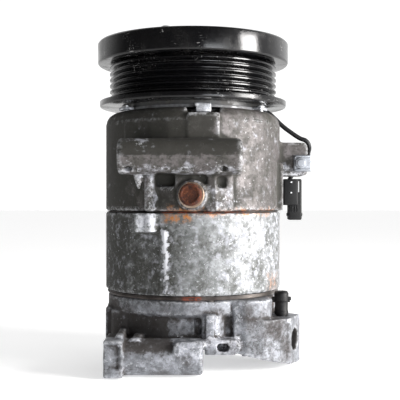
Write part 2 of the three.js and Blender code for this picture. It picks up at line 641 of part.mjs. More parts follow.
place("crank", "shaft", shaft(), STEEL);
const sealLip = [[8.6, 144], [9.4, 142.2], [13.2, 142.2], [13.2, 150], [9.4, 150], [8.6, 148]];
place("crank", "shaft_seal", turned(sealLip), SEAL);
place("crank", "seal_snap_ring", ring(10.4, 13.2, 150.4, 151.8), STEEL);
place("crank", "nose_bearing", ring(8.5, 13, 124, 137), RACE);
const mainBearing = bearing(12.5, 26, [92, 107], 7);
place("crank", "main_bearing_outer", mainBearing.outerRace, RACE);
place("crank", "main_bearing_inner", mainBearing.innerRace, RACE);
place("crank", "main_bearing_balls", mainBearing.cage, STEEL);
place("crank", "eccentric_bush", moved(ring(4.3, 8.9, 66.4, 79.8, 20), ORBIT, 0), STEEL);
place("crank", "counterweight", counterweight(), STEEL);
place("crank", "orbit_bearing", moved(ring(9.2, 11.7, 66.4, 78.6, 20), ORBIT, 0), RACE);

place("scrolls", "fixed_scroll", fixedScroll(), ALLOY);
place("scrolls", "orbiting_scroll", orbitingScroll(), ALLOY);
const thrustPlate = ring(20, SPIGOT_R, ...THRUST_Z, 28);
const pinHoles = pinPlaces().map(([x, y]) => post(x, y, 60, 70, 2.3, 10));
place("scrolls", "thrust_plate", cut(thrustPlate, ...pinHoles), STEEL);
pinPlaces().forEach(([x, y], i) => {
  place("scrolls", `anti_rotation_pin_${i + 1}`, post(x, y, 62, 76, 2, 10), STEEL);
  place("scrolls", `anti_rotation_ring_${i + 1}`, moved(ring(6.3, 7.4, 61.6, 65, 10), x + ORBIT, y), RACE);
});
const reed = cut(box(-24, 6, -4.6, 4.6, 30.2, 30.7), post(-20, 0, 20, 40, 2.4, 8));
place("scrolls", "discharge_reed", reed, STEEL);
place("scrolls", "reed_retainer", reedRetainer(), STEEL);
const reedScrew = join(post(-20, 0, 24.6, 27.7, 3.6, 6), post(-20, 0, 27.6, 35, 1.45, 8));
place("scrolls", "reed_screw", reedScrew, STEEL);

const plugBody = join(
  bar(plugPoint(-2.5), plugPoint(9), 3.9),
  bar(plugPoint(8.4), plugPoint(11.6), PLUG.head, 24, PLUG.head - 0.7),
);
place("fittings", "oil_plug", plugBody, RUST);
const washer = bar(plugPoint(6.8), plugPoint(8.1), 7.3, 14);
place("fittings", "plug_washer", cut(washer, bar(plugPoint(0), plugPoint(10), 4.3)), COPPER);
place("fittings", "coil_lead", coilLead(), PLASTIC);
place("fittings", "connector", connector(), PLASTIC);
place("fittings", "connector_clip", clip(), STEEL);
const clipHead = bar([65, -9.7, 106], [65, -12, 106], 3.7, 6);
const clipScrew = join(clipHead, bar([65, -10, 106], [65, -1, 106], 1.8, 8));
place("fittings", "clip_screw", clipScrew, STEEL);
place("fittings", "thermal_switch", thermalSwitch(), PLASTIC);

export default compressor;
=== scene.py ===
# %% [markdown]
# # A belt-driven refrigerant compressor
# The machine is three castings bolted end to end, with a grooved pulley and an electric clutch on its nose.
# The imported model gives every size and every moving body. This lesson gives it its looks: round metal gets
# finely turned meshes, castings get soft corners and a sandy skin, and each finish gets a node material.

# %% Load the frame
import json
import math

import bmesh
import bpy
import numpy as np
from mathutils import Matrix, Vector, noise


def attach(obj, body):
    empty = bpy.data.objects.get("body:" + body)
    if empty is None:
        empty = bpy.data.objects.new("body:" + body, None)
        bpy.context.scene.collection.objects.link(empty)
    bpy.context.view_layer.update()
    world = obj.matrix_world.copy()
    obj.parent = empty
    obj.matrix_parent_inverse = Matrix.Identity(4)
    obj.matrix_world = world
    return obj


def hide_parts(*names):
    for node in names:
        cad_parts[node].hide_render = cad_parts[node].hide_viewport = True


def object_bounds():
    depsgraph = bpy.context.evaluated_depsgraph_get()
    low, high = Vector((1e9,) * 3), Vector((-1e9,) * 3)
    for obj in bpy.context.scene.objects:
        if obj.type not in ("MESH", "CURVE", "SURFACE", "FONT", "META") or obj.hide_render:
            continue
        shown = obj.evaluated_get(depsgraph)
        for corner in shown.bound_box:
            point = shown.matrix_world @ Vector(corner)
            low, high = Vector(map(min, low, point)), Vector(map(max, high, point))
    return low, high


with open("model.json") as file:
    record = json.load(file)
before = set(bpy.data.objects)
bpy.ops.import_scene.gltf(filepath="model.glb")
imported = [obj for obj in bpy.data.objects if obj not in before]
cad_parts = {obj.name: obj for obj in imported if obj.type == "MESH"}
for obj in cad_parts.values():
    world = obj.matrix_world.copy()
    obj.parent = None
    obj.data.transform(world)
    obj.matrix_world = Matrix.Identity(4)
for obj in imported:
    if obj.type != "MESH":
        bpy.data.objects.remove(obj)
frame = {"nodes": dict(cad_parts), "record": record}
cad_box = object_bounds()
nodes = frame["nodes"]
MM = 0.001


def linked(name, data):
    """Makes an object of a mesh, curve, lamp or camera and puts it into the scene."""
    thing = bpy.data.objects.new(name, data)
    bpy.context.scene.collection.objects.link(thing)
    return thing


# %% [markdown]
# ## Camera
# A level camera half a metre away, at half the height of the machine, with a short telephoto lens. It comes
# first, so that every later render is framed in the same way.

# %% Camera
CAMERA_PLACE = (4.3 * MM, -500 * MM, 85 * MM)
LENS = 73.2
SENSOR = 36
SHIFT = -0.005
lens_data = bpy.data.cameras.new("studio_camera")
lens_data.lens = LENS
lens_data.sensor_width = SENSOR
lens_data.shift_y = SHIFT
lens_data.clip_start = 0.01
camera = linked("studio_camera", lens_data)
camera.location = CAMERA_PLACE
camera.rotation_euler = (math.pi / 2, 0, 0)
bpy.context.scene.camera = camera
print("camera looks along +Y from", CAMERA_PLACE)

# %% [markdown]
# ## Floor and studio light
# Used parts are usually photographed on white, with one strong window to the side. A large pale floor,
# white walls that are brightest behind the machine, one big soft lamp on the right and a weak one in front
# give that light: the right flank burns out and the left stays dark.

# %% Floor and lights
FLOOR_DROP = 0.5 * MM
WALL_BEHIND = (-0.1, 0.75)
WALL_BESIDE = (0.35, 0.95)
FLOOR_REACH = 6
PAPER_WHITE = (0.93, 0.93, 0.93, 1)
TABLE_GLOW = 0.46


def paper_material():
    """White paper lit from below, as on a light table, so that it throws light up on to the machine."""
    material = bpy.data.materials.new("light_table_paper")
    material.use_nodes = True
    shader = material.node_tree.nodes["Principled BSDF"]
    shader.inputs["Base Color"].default_value = PAPER_WHITE
    shader.inputs["Roughness"].default_value = 0.9
    shader.inputs["Emission Color"].default_value = (1, 1, 1, 1)
    shader.inputs["Emission Strength"].default_value = TABLE_GLOW
    return material


def studio_floor():
    z = cad_box[0][2] - FLOOR_DROP
    reach = FLOOR_REACH
    mesh = bpy.data.meshes.new("studio_floor")
    corners = [(-reach, -reach, z), (reach, -reach, z), (reach, reach, z), (-reach, reach, z)]
    mesh.from_pydata(corners, [], [(0, 1, 2, 3)])
    mesh.materials.append(paper_material())
    linked("studio_floor", mesh)


def soft_lamp(name, place, target, size, power, colour):
    lamp = bpy.data.lights.new(name, "AREA")
    lamp.shape = "RECTANGLE"
    lamp.size, lamp.size_y = size
    lamp.energy = power
    lamp.color = colour
    holder = linked(name, lamp)
    holder.location = place
    holder.rotation_euler = (Vector(target) - Vector(place)).to_track_quat("-Z", "Y").to_euler()


def studio_world(front, behind, beside):
    """White walls, brightest behind the machine (+Y) and beside it (+X), and dim towards the front left."""
    world = bpy.data.worlds.new("white_studio")
    world.use_nodes = True
    tree = world.node_tree
    direction = tree.nodes.new("ShaderNodeTexCoord")
    parts = tree.nodes.new("ShaderNodeSeparateXYZ")
    tree.links.new(direction.outputs["Generated"], parts.inputs[0])
    levels = []
    for axis, (start, end), level in (("Y", WALL_BEHIND, behind - front), ("X", WALL_BESIDE, beside)):
        fade = tree.nodes.new("ShaderNodeMapRange")
        fade.interpolation_type = "SMOOTHSTEP"
        fade.inputs["From Min"].default_value = start
        fade.inputs["From Max"].default_value = end
        fade.inputs["To Max"].default_value = level
        tree.links.new(parts.outputs[axis], fade.inputs["Value"])
        levels.append(fade.outputs["Result"])
    total = tree.nodes.new("ShaderNodeMath")
    total.operation = "ADD"
    tree.links.new(levels[0], total.inputs[0])
    tree.links.new(levels[1], total.inputs[1])
    base = tree.nodes.new("ShaderNodeMath")
    base.operation = "ADD"
    base.inputs[1].default_value = front
    tree.links.new(total.outputs[0], base.inputs[0])
    tree.links.new(base.outputs[0], tree.nodes["Background"].inputs["Strength"])
    tree.nodes["Background"].inputs["Color"].default_value = (1, 1, 1, 1)
    bpy.context.scene.world = world


studio_floor()
BODY_MIDDLE = (0, 0, 0.08)
soft_lamp("window", (0.86, -0.36, 0.14), BODY_MIDDLE, (0.35, 0.6), 25, (1, 0.98, 0.965))
soft_lamp("front_fill", (0.5, -1.0, 0.05), BODY_MIDDLE, (0.5, 0.4), 6, (0.93, 0.96, 1))
studio_world(front=0.11, behind=1.1, beside=0.6)
bpy.context.scene.view_settings.view_transform = "Standard"
print("stage: floor, window lamp, fill and white walls")

# %% [markdown]
# ## Tools for turned metal
# Pulleys, bolts and plugs are turned on a lathe, so each is a profile carried round an axis. A real edge is
# never razor sharp, so `eased` first rounds every corner of the profile a little: that thin round is what
# catches the light.

# %% Pieces and lathe
SMOOTH_ANGLE = math.radians(32)


def finished(name, mesh, material, body, *replaced, slot):
    """Makes the mesh a piece of the compressor, riding on its body in place of the CAD parts it refines."""
    mesh.materials.clear()
    mesh.materials.append(material)
    mesh.shade_smooth()
    mesh.set_sharp_from_angle(angle=SMOOTH_ANGLE)
    piece = linked(name, mesh)
    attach(piece, body)
    if replaced:
        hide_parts(*replaced)
    print(f"{name}: {len(mesh.polygons)} faces on {body}")


def eased(profile, radius, steps=3):
    """Rounds each corner of a closed outline given in millimetres."""
    points = [Vector(p) for p in profile]
    out = []
    for i, corner in enumerate(points):
        before, after = points[i - 1] - corner, points[(i + 1) % len(points)] - corner
        reach = min(radius, before.length * 0.45, after.length * 0.45)
        if corner.x < 0.001 or reach < 0.01:
            out.append(corner)
            continue
        start, end = corner + before.normalized() * reach, corner + after.normalized() * reach
        for k in range(steps + 1):
            t = k / steps
            out.append(start * (1 - t) ** 2 + corner * 2 * t * (1 - t) + end * t * t)
    return out


def lathe_mesh(name, profile, sides):
    """Carries a closed outline of (radius, height) points round the Z axis."""
    angles = [2 * math.pi * k / sides for k in range(sides)]
    count = len(profile)
    verts = [(r * math.cos(a) * MM, r * math.sin(a) * MM, z * MM) for a in angles for r, z in profile]
    faces = []
    for k in range(sides):
        here, there = k * count, (k + 1) % sides * count
        for i in range(count):
            j = (i + 1) % count
            faces.append((here + i, there + i, there + j, here + j))
    mesh = bpy.data.meshes.new(name)
    mesh.from_pydata(verts, [], faces)
    return cleaned(mesh)


print("lathe ready")

# %% Mesh helpers
SAME_PLACE = 1e-7


def cleaned(mesh, turn_out=True):
    """Merges doubles, drops empty faces and turns all faces outwards."""
    bm = bmesh.new()
    bm.from_mesh(mesh)
    bmesh.ops.remove_doubles(bm, verts=bm.verts, dist=SAME_PLACE)
    bmesh.ops.dissolve_degenerate(bm, edges=bm.edges, dist=SAME_PLACE)
    if turn_out:
        bmesh.ops.recalc_face_normals(bm, faces=bm.faces)
    bm.to_mesh(mesh)
    bm.free()
    return mesh


def baked(helper, name):
    """Turns an object and its modifiers into a plain mesh, and drops the object."""
    bpy.context.view_layer.update()
    graph = bpy.context.evaluated_depsgraph_get()
    made = bpy.data.meshes.new_from_object(helper.evaluated_get(graph))
    made.name = name
    bpy.data.objects.remove(helper)
    return made


def applied(mesh, name, *steps):
    """Runs modifiers on a mesh. Each step is a modifier type and its settings."""
    helper = linked(name + "_helper", mesh)
    for kind, settings in steps:
        modifier = helper.modifiers.new(kind.title(), kind)
        for key, value in settings.items():
            setattr(modifier, key, value)
    return baked(helper, name)


def joined(name, *meshes):
    bm = bmesh.new()
    for mesh in meshes:
        bm.from_mesh(mesh)
    whole = bpy.data.meshes.new(name)
    bm.to_mesh(whole)
    bm.free()
    return whole


def moved(mesh, x=0, y=0, z=0):
    mesh.transform(Matrix.Translation((x * MM, y * MM, z * MM)))
    return mesh


def block_mesh(name, low, high, ease):
    """A box with rounded edges, between two corners in millimetres."""
    bm = bmesh.new()
    bmesh.ops.create_cube(bm, size=1)
    size = [(b - a) * MM for a, b in zip(low, high)]
    middle = [(a + b) / 2 * MM for a, b in zip(low, high)]
    for v in bm.verts:
        v.co = Vector([c * s + m for c, s, m in zip(v.co, size, middle)])
    bmesh.ops.bevel(bm, geom=bm.edges[:], offset=ease * MM, segments=3, affect="EDGES", profile=0.5)
    mesh = bpy.data.meshes.new(name)
    bm.to_mesh(mesh)
    bm.free()
    return mesh


def node_copy(node):
    """A copy of a CAD part's mesh with its loose triangles joined at their corners."""
    mesh = nodes[node].data.copy()
    mesh.name = node + "_copy"
    return cleaned(mesh, turn_out=False)


print("mesh helpers ready")

# %% [markdown]
# ## Shared effects
# Old castings are never one colour. Three effects are used again and again, so each is a node group:
# `mottle` gives a soft-edged patchy mask, `speckle` gives fine grains, and `scratches` gives thin random
# strokes. A group only makes masks: the Principled shader stays in each material.

# %% Node helpers
def new_group(name, inputs, outputs):
    group = bpy.data.node_groups.new(name, "ShaderNodeTree")
    for label, value in inputs.items():
        socket = group.interface.new_socket(label, in_out="INPUT", socket_type="NodeSocketFloat")
        socket.default_value = value
    for label in outputs:
        group.interface.new_socket(label, in_out="OUTPUT", socket_type="NodeSocketFloat")
    return group, group.nodes.new("NodeGroupInput"), group.nodes.new("NodeGroupOutput")


def add(tree, kind, **settings):
    """Adds a node and sets its properties."""
    node = tree.nodes.new(kind)
    for key, value in settings.items():
        setattr(node, key, value)
    return node


def link(tree, source, target):
    tree.links.new(source, target)


def noise_field(tree, scale, detail, rough=0.6, stretch=None):
    """Noise over the piece's own coordinates. Scale counts features in a metre."""
    coords = add(tree, "ShaderNodeTexCoord").outputs["Object"]
    if stretch:
        mapping = add(tree, "ShaderNodeMapping")
        mapping.inputs["Scale"].default_value = stretch
        link(tree, coords, mapping.inputs["Vector"])
        coords = mapping.outputs["Vector"]
    field = add(tree, "ShaderNodeTexNoise")
    field.inputs["Scale"].default_value = scale
    field.inputs["Detail"].default_value = detail
    field.inputs["Roughness"].default_value = rough
    link(tree, coords, field.inputs["Vector"])
    return field


def ramp(tree, source, low, high, to_low=0.0, to_high=1.0):
    """Maps a value from one span to another with soft ends."""
    node = add(tree, "ShaderNodeMapRange", interpolation_type="SMOOTHSTEP")
    for socket, value in zip(("From Min", "From Max", "To Min", "To Max"), (low, high, to_low, to_high)):
        if hasattr(value, "links"):
            link(tree, value, node.inputs[socket])
        else:
            node.inputs[socket].default_value = value
    link(tree, source, node.inputs["Value"])
    return node.outputs["Result"]


def arithmetic(tree, operation, a, b):
    node = add(tree, "ShaderNodeMath", operation=operation)
    for socket, value in zip(node.inputs, (a, b)):
        if hasattr(value, "links"):
            link(tree, value, socket)
        else:
            socket.default_value = value
    return node.outputs[0]


def times(tree, a, b):
    return arithmetic(tree, "MULTIPLY", a, b)


print("node helpers ready")

# %% Shader groups
def mottle_group():
    group, given, out = new_group("mottle", {"Scale": 60, "Amount": 0.5, "Softness": 0.15}, ["Mask"])
    field = noise_field(group, 60, 8, 0.62)
    link(group, given.outputs["Scale"], field.inputs["Scale"])
    edge = arithmetic(group, "SUBTRACT", 0.78, times(group, given.outputs["Amount"], 0.56))
    low = arithmetic(group, "SUBTRACT", edge, given.outputs["Softness"])
    high = arithmetic(group, "ADD", edge, given.outputs["Softness"])
    link(group, ramp(group, field.outputs["Fac"], low, high), out.inputs["Mask"])
    return group


def speckle_group():
    group, given, out = new_group("speckle", {"Scale": 900, "Amount": 0.5}, ["Mask"])
    field = noise_field(group, 900, 4, 0.7)
    link(group, given.outputs["Scale"], field.inputs["Scale"])
    edge = arithmetic(group, "SUBTRACT", 0.72, times(group, given.outputs["Amount"], 0.44))
    high = arithmetic(group, "ADD", edge, 0.08)
    link(group, ramp(group, field.outputs["Fac"], edge, high), out.inputs["Mask"])
    return group


def scratch_group():
    group, given, out = new_group("scratches", {"Amount": 0.3}, ["Mask"])
    strokes = []
    for stretch in ((1, 1, 26), (18, 1, 3), (2, 22, 9)):
        field = noise_field(group, 140, 2, 0.5, stretch=stretch)
        strokes.append(ramp(group, field.outputs["Fac"], 0.68, 0.72))
    patch = noise_field(group, 45, 3)
    either = arithmetic(group, "MAXIMUM", arithmetic(group, "MAXIMUM", strokes[0], strokes[1]), strokes[2])
    where = ramp(group, patch.outputs["Fac"], 0.5, 0.62)
    made = times(group, times(group, either, where), given.outputs["Amount"])
    link(group, made, out.inputs["Mask"])
    return group


MOTTLE = mottle_group()
SPECKLE = speckle_group()
SCRATCHES = scratch_group()
print("shader groups:", MOTTLE.name, SPECKLE.name, SCRATCHES.name)

# %% [markdown]
# ## The castings' finish
# Sand-cast aluminium starts out silver grey. On an engine it gathers brown grime in the creases, white
# oxide where water sat, and rust that runs off the steel plug. Where these lie depends on the shape, so
# each casting carries four painted values at its points: `edge`, a dark value, a pale value and `rust`. The
# dark value is grime and also painted shade, and the pale value is oxide and also painted light. The nodes
# break them up into fine grains.

# %% Material helpers
def start_material(name):
    material = bpy.data.materials.new(name)
    material.use_nodes = True
    tree = material.node_tree
    return material, tree, tree.nodes["Principled BSDF"]


def use_group(tree, group, **values):
    node = add(tree, "ShaderNodeGroup")
    node.node_tree = group
    for key, value in values.items():
        if hasattr(value, "links"):
            link(tree, value, node.inputs[key])
        else:
            node.inputs[key].default_value = value
    return node.outputs["Mask"]


def painted(tree, name):
    node = add(tree, "ShaderNodeAttribute", attribute_type="GEOMETRY")
    node.attribute_name = name
    return node.outputs["Fac"]


def colour_mix(tree, factor, below, above):
    """Lays one colour over another by a mask."""
    node = add(tree, "ShaderNodeMix", data_type="RGBA")
    sockets = [s for s in node.inputs if s.enabled and s.name in ("Factor", "A", "B")]
    for socket, value in zip(sockets, (factor, below, above)):
        if hasattr(value, "links"):
            link(tree, value, socket)
        elif isinstance(value, tuple):
            socket.default_value = (*value, 1)
        else:
            socket.default_value = value
    return next(s for s in node.outputs if s.enabled)


def bump(tree, shader, height, distance, strength):
    node = add(tree, "ShaderNodeBump")
    node.inputs["Strength"].default_value = strength
    node.inputs["Distance"].default_value = distance
    link(tree, height, node.inputs["Height"])
    link(tree, node.outputs["Normal"], shader.inputs["Normal"])


# The soot colour is sprinkled where the dark value is high, so it also deepens the painted shade. The two
# pale colours are laid where the pale value is high, as white oxide and as painted light.
SOOT_AND_SHADE = (0.013, 0.012, 0.01)
PALE_OXIDE_AND_LIGHT = (0.46, 0.47, 0.52)
PALE_OXIDE_GRAIN_AND_LIGHT = (0.66, 0.67, 0.7)
WORN_METAL = (0.6, 0.61, 0.63)
RUST_RUN = (0.4, 0.15, 0.03)


def cast_material(name, light, dark, stain):
    """Cast aluminium: fine grey grain, broad shading, then grime and painted shade, oxide and painted light,
    worn edges and rust over it.
    """
    material, tree, shader = start_material(name)
    fine = noise_field(tree, 420, 6, 0.72).outputs["Fac"]
    broad = noise_field(tree, 55, 6, 0.6).outputs["Fac"]
    cloud = noise_field(tree, 150, 6, 0.68).outputs["Fac"]
    grime_and_shade, oxide_and_light, rust, edge = (painted(tree, n) for n in ("grime_and_shade", "oxide_and_light", "rust", "edge"))
    grain = arithmetic(tree, "ADD", times(tree, fine, 0.45), times(tree, cloud, 0.55))
    base = colour_mix(tree, ramp(tree, grain, 0.38, 0.62), dark, light)
    shade = times(tree, ramp(tree, broad, 0.3, 0.62, 1.0, 0.25), 0.45)
    base = colour_mix(tree, shade, base, dark)
    # The stain colour is laid by the dark value: dirt, and painted shade in creases, holes, pockets and on
    # the left flank.
    dirt_and_shade = use_group(tree, MOTTLE, Scale=95.0, Amount=grime_and_shade, Softness=0.2)
    base = colour_mix(tree, times(tree, dirt_and_shade, 0.82), base, stain)
    soot_and_shade_specks = use_group(tree, SPECKLE, Scale=520.0, Amount=grime_and_shade)
    base = colour_mix(tree, times(tree, soot_and_shade_specks, 0.5), base, SOOT_AND_SHADE)
    # The pale oxide colours are laid by the pale value: white oxide, and painted light on highlights, lit
    # panels and the right flank.
    pale_patches_and_light = use_group(tree, MOTTLE, Scale=210.0, Amount=oxide_and_light, Softness=0.12)
    base = colour_mix(tree, times(tree, pale_patches_and_light, 0.6), base, PALE_OXIDE_AND_LIGHT)
    pale_grains_and_light = use_group(tree, SPECKLE, Scale=560.0, Amount=oxide_and_light)
    base = colour_mix(tree, times(tree, pale_grains_and_light, 0.5), base, PALE_OXIDE_GRAIN_AND_LIGHT)
    worn = times(tree, edge, ramp(tree, fine, 0.4, 0.62))
    base = colour_mix(tree, worn, base, WORN_METAL)
    run = times(tree, rust, ramp(tree, noise_field(tree, 420, 5).outputs["Fac"], 0.4, 0.6))
    base = colour_mix(tree, run, base, RUST_RUN)
    link(tree, base, shader.inputs["Base Color"])
    dull = arithmetic(tree, "MAXIMUM", dirt_and_shade, pale_patches_and_light)
    link(tree, ramp(tree, dull, 0, 1, 0.5, 0.82), shader.inputs["Roughness"])
    link(tree, ramp(tree, dull, 0, 1, 0.45, 0.08), shader.inputs["Metallic"])
    pores = noise_field(tree, 1500, 3).outputs["Fac"]
    bump(tree, shader, arithmetic(tree, "ADD", times(tree, pores, 0.5), fine), 0.00025, 0.7)
    return material


FRONT_CAST = cast_material(
    "front_cast_aluminium", light=(0.158, 0.143, 0.145), dark=(0.07, 0.064, 0.06), stain=(0.019, 0.019, 0.012)
)
SHELL_CAST = cast_material(
    "shell_cast_aluminium", light=(0.31, 0.32, 0.33), dark=(0.105, 0.11, 0.108), stain=(0.034, 0.033, 0.025)
)
REAR_CAST = cast_material(
    "rear_cast_aluminium", light=(0.35, 0.365, 0.4), dark=(0.125, 0.13, 0.14), stain=(0.026, 0.016, 0.011)
)
print("cast finishes ready")

# %% [markdown]
# ## Castings
# A casting has no hard corner anywhere: each rib and boss melts into the body. The imported solid is copied,
# filled with small voxels so that its ribs grow together, and smoothed. The round body is then pulled back
# to a true circle and a little noise makes the sand skin. The four painted values come from its corners and
# creases, from its holes and from boxes in which dirt, oxide or rust is known to lie. The holes and many of
# the boxes also carry painted shade, and some boxes carry painted light.

# %% Casting tools
SEED_SHIFT = Vector((3.1, 7.7, 1.9))


def points_of(mesh):
    co = np.empty(len(mesh.vertices) * 3)
    mesh.vertices.foreach_get("co", co)
    return co.reshape(-1, 3)


def normals_of(mesh):
    normals = np.empty(len(mesh.vertices) * 3)
    mesh.vertex_normals.foreach_get("vector", normals)
    return normals.reshape(-1, 3)


def neighbour_mean(mesh, values):
    """The mean of a value over each point's neighbours."""
    edges = np.empty(len(mesh.edges) * 2, np.int64)
    mesh.edges.foreach_get("vertices", edges)
    a, b = edges.reshape(-1, 2).T
    count = np.bincount(np.concatenate((a, b)), minlength=len(mesh.vertices))
    total = np.zeros((len(mesh.vertices), values.shape[1]))
    for column in range(values.shape[1]):
        weights = np.concatenate((values[b, column], values[a, column]))
        total[:, column] = np.bincount(np.concatenate((a, b)), weights, len(mesh.vertices))
    return total / np.maximum(count, 1)[:, None]


def convexity(mesh):
    """Above 0 on outer corners and below 0 in creases, about 1 on a sharp one."""
    co = points_of(mesh)
    bend = -np.einsum("ij,ij->i", neighbour_mean(mesh, co) - co, normals_of(mesh))
    bend = bend[:, None]
    for _ in range(2):
        bend = neighbour_mean(mesh, bend)
    return bend[:, 0] / (0.05 * MM)


def true_round(co, radius, z_low, z_high, sides):
    """Pulls points that lie on the flats of a many-sided drum back to its circle."""
    r = np.hypot(co[:, 0], co[:, 1]) / MM
    flat = radius * math.cos(math.pi / sides)
    z = co[:, 2] / MM
    on = (r > flat - 0.06) & (r < radius + 0.04) & (z > z_low) & (z < z_high)
    co[on, :2] *= (radius / r[on])[:, None]


def sand_skin(co, normals, height):
    """Small lumps over the surface, in place, so that even the bare mesh looks cast."""
    lumps = np.array([
        noise.noise(Vector(p) * 260 + SEED_SHIFT) * 0.6 + noise.noise(Vector(p) * 700) * 0.4 for p in co
    ])
    return co + normals * (lumps * height)[:, None]


print("sand skin ready")

# %% Painted zones
def store(mesh, name, values):
    layer = mesh.attributes.new(name, "FLOAT", "POINT")
    layer.data.foreach_set("value", np.clip(values, 0, 1).astype(np.float32))


def ragged_field(co):
    """Noise of about 1 mm and 4 mm grain, which frays the edges of the painted zones."""
    return np.array([noise.noise(Vector(p) * 240) * 2.2 + noise.noise(Vector(p) * 900) * 1.2 for p in co])


def zone(co, ragged, low, high, soft):
    """1 inside a box given in millimetres, falling to 0 with a frayed edge over the soft distance."""
    p = co / MM
    outside = np.maximum(np.array(low) - p, p - np.array(high)).max(axis=1)
    return np.clip(0.5 - (outside + ragged) / soft, 0, 1)


def in_bore(co, start, end, radius):
    """1 on the wall of a round hole between two points given in millimetres."""
    start, end = np.array(start), np.array(end)
    length = np.linalg.norm(end - start)
    axis = (end - start) / length
    away = co / MM - start
    along = away @ axis
    off = np.linalg.norm(away - np.outer(along, axis), axis=1)
    return ((off < radius + 0.15) & (along > 0) & (along < length)).astype(float)


def casting(node, name, material, body_rounds, zones, voxel=0.91, lump=0.07):
    """Voxel and lump size, body rounds and zones are all in millimetres."""
    mesh = applied(
        node_copy(node), name,
        ("REMESH", {"mode": "VOXEL", "voxel_size": voxel * MM, "use_smooth_shade": True}),
        ("SMOOTH", {"factor": 0.5, "iterations": 5}),
    )
    co = points_of(mesh)
    for entry in body_rounds:
        true_round(co, *entry)
    co = sand_skin(co, normals_of(mesh), lump * MM)
    mesh.vertices.foreach_set("co", co.ravel())
    mesh.update()
    bend = convexity(mesh)
    store(mesh, "edge", np.clip(bend - 0.4, 0, 1) * 0.5)
    # Creases are made darker the more concave they are.
    grime_and_shade = np.full(len(co), zones["grime_and_shade"][0]) + np.clip(-bend, 0, 1) * 0.5
    oxide_and_light = np.full(len(co), zones["oxide_and_light"][0])
    rust = np.zeros(len(co))
    ragged = ragged_field(co)
    for value, *bounds in zones["grime_and_shade"][1]:
        grime_and_shade += value * zone(co, ragged, *bounds)
    for value, *bounds in zones["oxide_and_light"][1]:
        oxide_and_light += value * zone(co, ragged, *bounds)
    for value, *bounds in zones["rust"]:
        rust = np.maximum(rust, value * zone(co, ragged, *bounds))
    # Inside every bore the wall is darkened and its oxide taken away: painted shade inside the hole.
    for bore in zones["bores"]:
        dark = in_bore(co, *bore)
        grime_and_shade += dark
        oxide_and_light -= dark
    store(mesh, "grime_and_shade", grime_and_shade)
    store(mesh, "oxide_and_light", oxide_and_light)
    store(mesh, "rust", rust)
    finished(name, mesh, material, "casing", node, slot="cast_aluminium")


CAD_SIDES = 36
print("casting tools ready")

# %% [markdown]
# ## Front housing
# The front casting carries the upper mounting tube, the plug boss and the pulley's nose. Its top is the
# dirtiest part; its left flank, the top half of its tube and the pocket beside the plug are darkened with
# painted shade. The tube's underside and the bolt rib are white with oxide and painted light, the panel
# right of the plug and the right flank carry painted light, and the plug bleeds rust on to the seam.

# %% Front housing
front_zones = {
    # Besides dirt, these dark boxes paint shade: the left flank, the top half of the tube, the pocket between
    # the bolt rib and the plug boss, and the wall left of the bolt rib.
    "grime_and_shade": (0.4, [
        (0.45, (-54, -60, 110), (12, -20, 136), 5), (0.55, (-56, -60, 77), (-38, 10, 136), 8),
        (0.5, (-41, -70, 108.2), (28, -50, 119), 1.5), (0.35, (-24, -54, 80), (-10, -40, 98), 3),
        (0.3, (-38, -50, 77), (-30, -30, 99), 4), (0.35, (9, -52, 86), (13, -47, 98), 2),
        (0.03, (20, -60, 77), (52, 0, 132), 8),
    ]),
    # Besides oxide, these pale boxes paint light: the lower half of the tube in part, a highlight down the
    # bolt rib, the lit panel right of the plug and the right flank.
    "oxide_and_light": (0.1, [
        (0.3, (-41, -70, 97), (28, -55, 103), 5), (0.28, (-34, -57, 77), (-20, -50, 101), 1.2),
        (0.24, (8, -58, 77), (22, -50, 92), 3), (0.12, (22, -56, 78), (52, -8, 130), 6),
        (0.35, (46, -10, 97), (70, -6, 106), 3), (0.25, (-41, -64, 108), (-22, -56, 119), 5),
    ]),
    "rust": [(0.95, (-14, -56, 77), (4, -48, 79), 3), (0.8, (4, -54, 77), (48, -20, 78), 2)],
    "bores": [((-39, -56, 107.7), (26, -56, 107.7), 5.2), ((-21, 57, 107.7), (21, 57, 107.7), 5.2)],
}
casting("front_housing", "front_housing_casting", FRONT_CAST, [(53, 77, 129, CAD_SIDES)], front_zones)

# %% [markdown]
# ## Shell
# The middle casting is a plain drum with one lug and a shallow flat. It has the most white oxide of the
# three. Its left flank carries painted shade, and its ridge and right flank carry painted light.

# %% Shell
shell_zones = {
    # Besides dirt, these dark boxes paint shade on the left flank.
    "grime_and_shade": (0.32, [
        (0.75, (-54, -45, 30), (-36, 20, 77), 10), (0.3, (-34, -50, 30), (-20, -38, 64), 3),
        (0.25, (-20, -56, 30), (-8, -45, 70), 8),
    ]),
    # Besides oxide, these pale boxes paint a long highlight down the thin ridge and light on the right flank.
    "oxide_and_light": (0.26, [
        (0.35, (-31, -56, 66), (-20, -50, 77), 1.5), (0.8, (-16.4, -56, 33), (-13.6, -50.9, 67), 0.8),
        (0.12, (14, -56, 31), (54, -6, 77), 14),
    ]),
    "rust": [
        (1.1, (-16, -56, 72.5), (-1, -50, 77), 3.5), (0.8, (2, -56, 75.6), (44, -26, 77), 2),
        (0.5, (44, -32, 32), (49, -18, 40), 4),
    ],
    "bores": [((0, 44, 54), (0, 59.5, 54), 8)],
}
casting("shell", "shell_casting", SHELL_CAST, [(53, 31.5, 77, CAD_SIDES)], shell_zones)

# %% [markdown]
# ## Rear head
# The rear casting closes the machine. Under its collar the wall steps in, with ribs and lobes round the
# bolts, the lower mounting tube on the left and the port block on the right.

